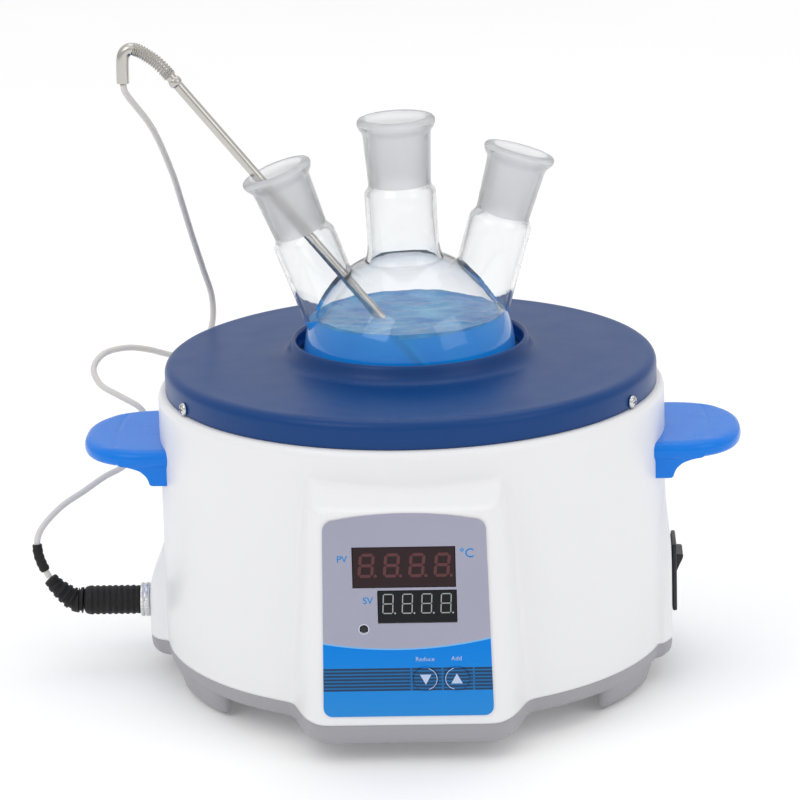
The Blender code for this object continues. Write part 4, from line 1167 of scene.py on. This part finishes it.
def power_switch():
    x, y, z = SWITCH_X, ROCKER_Y, ROCKER_Z
    bezel = tool(*block(x - 17, x + 2.0, y - 10.8, y + 10.8, z - 15.9, z + 15.9), "switch_bezel_frame")
    flange = tool(*block(x + 0.3, x + 2.6, y - 12.6, y + 12.6, z - 17.4, z + 17.4))
    baked(soften(flange, 0.9, 4))
    boolean(bezel, "UNION", flange)
    boolean(bezel, "DIFFERENCE", tool(*block(x - 14, x + 6, y - 9.4, y + 9.4, z - 14.5, z + 14.5)))
    dress(bezel, "black", "mantle", "switch_bezel")
    outline = [(-4.5, -5), (-4.5, 5), (2.5, 12.2), (9.6, 12.9), (10.5, 12.4), (10.3, 10.6), (9.4, 7.4), (8.7, 4.5),
            (8.3, 2.0),
               (8.2, 0), (8.3, -2.0), (8.7, -4.5), (9.4, -7.4), (10.3, -10.6), (10.5, -12.4), (9.6, -12.9),
               (2.5, -12.2)]
    c, s = cos(ROCKER_REST), sin(ROCKER_REST)
    turned_outline = [(ROCKER_X + u * c + v * s, z - u * s + v * c) for u, v in outline]
    rocker = build("rocker_paddle", *slab(turned_outline, y - 8.9, y + 8.9, "Y"), "black", "rocker", "rocker",
            "black_plastic", 40)
    soften(rocker, 0.5, 3, 50)
    marks = []
    for centre, shape in ((6.8, "bar"), (-6.8, "ring")):
        if shape == "bar":
            marks.append([(y - 0.35, centre - 1.9), (y + 0.35, centre - 1.9), (y + 0.35, centre + 1.9),
                    (y - 0.35, centre + 1.9)])
        else:
            marks += ring_outlines(y, centre, 1.9, 0.6, 0, 360, 24)
    verts, faces = [], []
    for shape in marks:
        start, count = len(verts), len(shape)
        for lift in (-0.3, 0.08):
            for py, v in shape:
                u = 8.2 + (v / 12.4) ** 2 * 2.1 + lift
                verts.append((ROCKER_X + u * c + v * s, py, z - u * s + v * c))
        faces += [[start + i for i in range(count)][::-1], [start + count + i for i in range(count)]]
        faces += [[start + i, start + (i + 1) % count, start + count + (i + 1) % count,
                start + count + i] for i in range(count)]
    build("rocker_marks", verts, faces, "ink_white", "rocker", (), "black_plastic")


def power_entry():
    inlet = tool(*block(-28.6, -0.8, REAR_Y - 22, REAR_Y + 2.0, 34.0, 54.0), "inlet_socket")
    flange = tool(*block(-34.0, 4.6, REAR_Y + 0.3, REAR_Y + 2.6, 31.0, 57.0))
    baked(soften(flange, 0.8, 3))
    boolean(inlet, "UNION", flange)
    pocket = [(-26.4, 36.2), (-3.0, 36.2), (-3.0, 48.4), (-6.4, 51.8), (-23.0, 51.8), (-26.4, 48.4)]
    boolean(inlet, "DIFFERENCE", tool(*slab(pocket, REAR_Y - 14, REAR_Y + 4, "Y")))
    dress(inlet, "black", "mantle", "mains_inlet")
    for i, (x, z) in enumerate(((-21.7, 42.5), (-7.7, 42.5), (-14.7, 46.5))):
        pin = build(f"inlet_pin_{i + 1}", *block(x - 1, x + 1, REAR_Y - 15, REAR_Y - 1, z - 2, z + 2), "brass",
                "mantle", (), "plated_metal")
        soften(pin, 0.4, 2)
    fuse = rounded([(0, 0), (5.8, 0), (5.8, 26.3), (7.4, 26.3), (7.4, 28.6), (6.6, 30.2), (0, 30.2)], 0.4, 3)
    grip = lambda a, r: r - (0.25 if 7.3 < r and cos(24 * a) < 0 else 0)
    cap = tool(*turned(fuse, 72, along((22, REAR_Y - 26, 44), (0, 1, 0)), grip), "fuse_cap")
    boolean(cap, "DIFFERENCE", tool(*block(17.5, 26.5, REAR_Y + 3.2, REAR_Y + 6, 43.4, 44.6)))
    dress(cap, "black", "mantle", "fuse_holder")


# ---- finishes of the CAD pieces that are shown as they are ----

SLOT_KINDS = {"flask_glass": "clear", "blue_liquid": "liquid", "probe_steel": "steel", "plated_metal": "chrome",
        "screw_metal": "screw",
              "foot_rubber": "foot", "navy_cover": "lid", "white_housing": "white", "grey_tray": "grey",
              "blue_handle": "handle",
              "glass_cloth": "cloth", "glass_wool": "wool", "element_wire": "element", "shell_sheet": "alloy",
              "panel_film": "panel",
              "display_black": "window", "circuit_board": "board", "black_plastic": "black", "boot_rubber": "boot",
              "lead_jacket": "jacket", "core_steel": "core", "sink_aluminium": "alloy", "terminal_plastic": "cream"}


def finish_cad_nodes():
    kinds = {part["node"]: part["material_slot"] for part in frame["record"]["subparts"]}
    for name, obj in frame["nodes"].items():
        if obj.hide_render:
            continue
        for i in range(len(obj.material_slots)):
            obj.material_slots[i].link = "OBJECT"
            obj.material_slots[i].material = material(SLOT_KINDS[kinds[name]])


# ---- floor and light ----

def stage():
    t = Tree("floor_paint")
    t.set(colour=t.mix(t.noise(3.0), (0.90, 0.90, 0.90, 1), (0.94, 0.94, 0.94, 1)), rough=0.8, glow=0.13,
            glow_colour=(1, 1, 1, 1), spec=0.1)
    mesh = bpy.data.meshes.new("floor")
    mesh.from_pydata([(-14, -14, -0.0005), (14, -14, -0.0005), (14, 14, -0.0005), (-14, 14, -0.0005)], [],
            [(0, 1, 2, 3)])
    mesh.materials.append(t.mat)
    floor = bpy.data.objects.new("floor", mesh)
    scene.collection.objects.link(floor)
    world = bpy.data.worlds.new("studio")
    scene.world = world
    world.use_nodes = True
    nodes, link = world.node_tree.nodes, world.node_tree.links.new
    back = nodes["Background"]
    axes = nodes.new("ShaderNodeSeparateXYZ")
    coord = nodes.new("ShaderNodeTexCoord")
    link(coord.outputs["Generated"], axes.inputs[0])
    height = nodes.new("ShaderNodeMapRange")
    height.inputs["From Min"].default_value, height.inputs["From Max"].default_value = -0.05, 0.9
    height.inputs["To Min"].default_value, height.inputs["To Max"].default_value = 0.55, 0.95
    link(axes.outputs["Z"], height.inputs["Value"])
    link(height.outputs[0], back.inputs["Strength"])
    back.inputs["Color"].default_value = (1, 1, 1, 1)
    for name, place, size, power in (("key_softbox", (-1.4, -1.6, 1.9), 1.3, 8.0),
            ("fill_softbox", (1.7, -1.2, 1.3), 1.2, 4.0),
                                     ("top_softbox", (0.1, 0.5, 2.2), 1.8, 6.0)):
        data = bpy.data.lights.new(name, "AREA")
        data.shape, data.size, data.energy = "SQUARE", size, power
        light = bpy.data.objects.new(name, data)
        light.location = place
        light.rotation_euler = (Vector((0, 0, 0.12)) - Vector(place)).to_track_quat("-Z", "Y").to_euler()
        scene.collection.objects.link(light)
    scene.view_settings.view_transform = "Standard"


def main():
    camera()
    lead()
    housing()
    tray()
    feet()
    cover()
    screws()
    handles()
    bowl()
    flask_and_liquid()
    probe()
    panel()
    power_switch()
    power_entry()
    finish_cad_nodes()
    stage()


main()
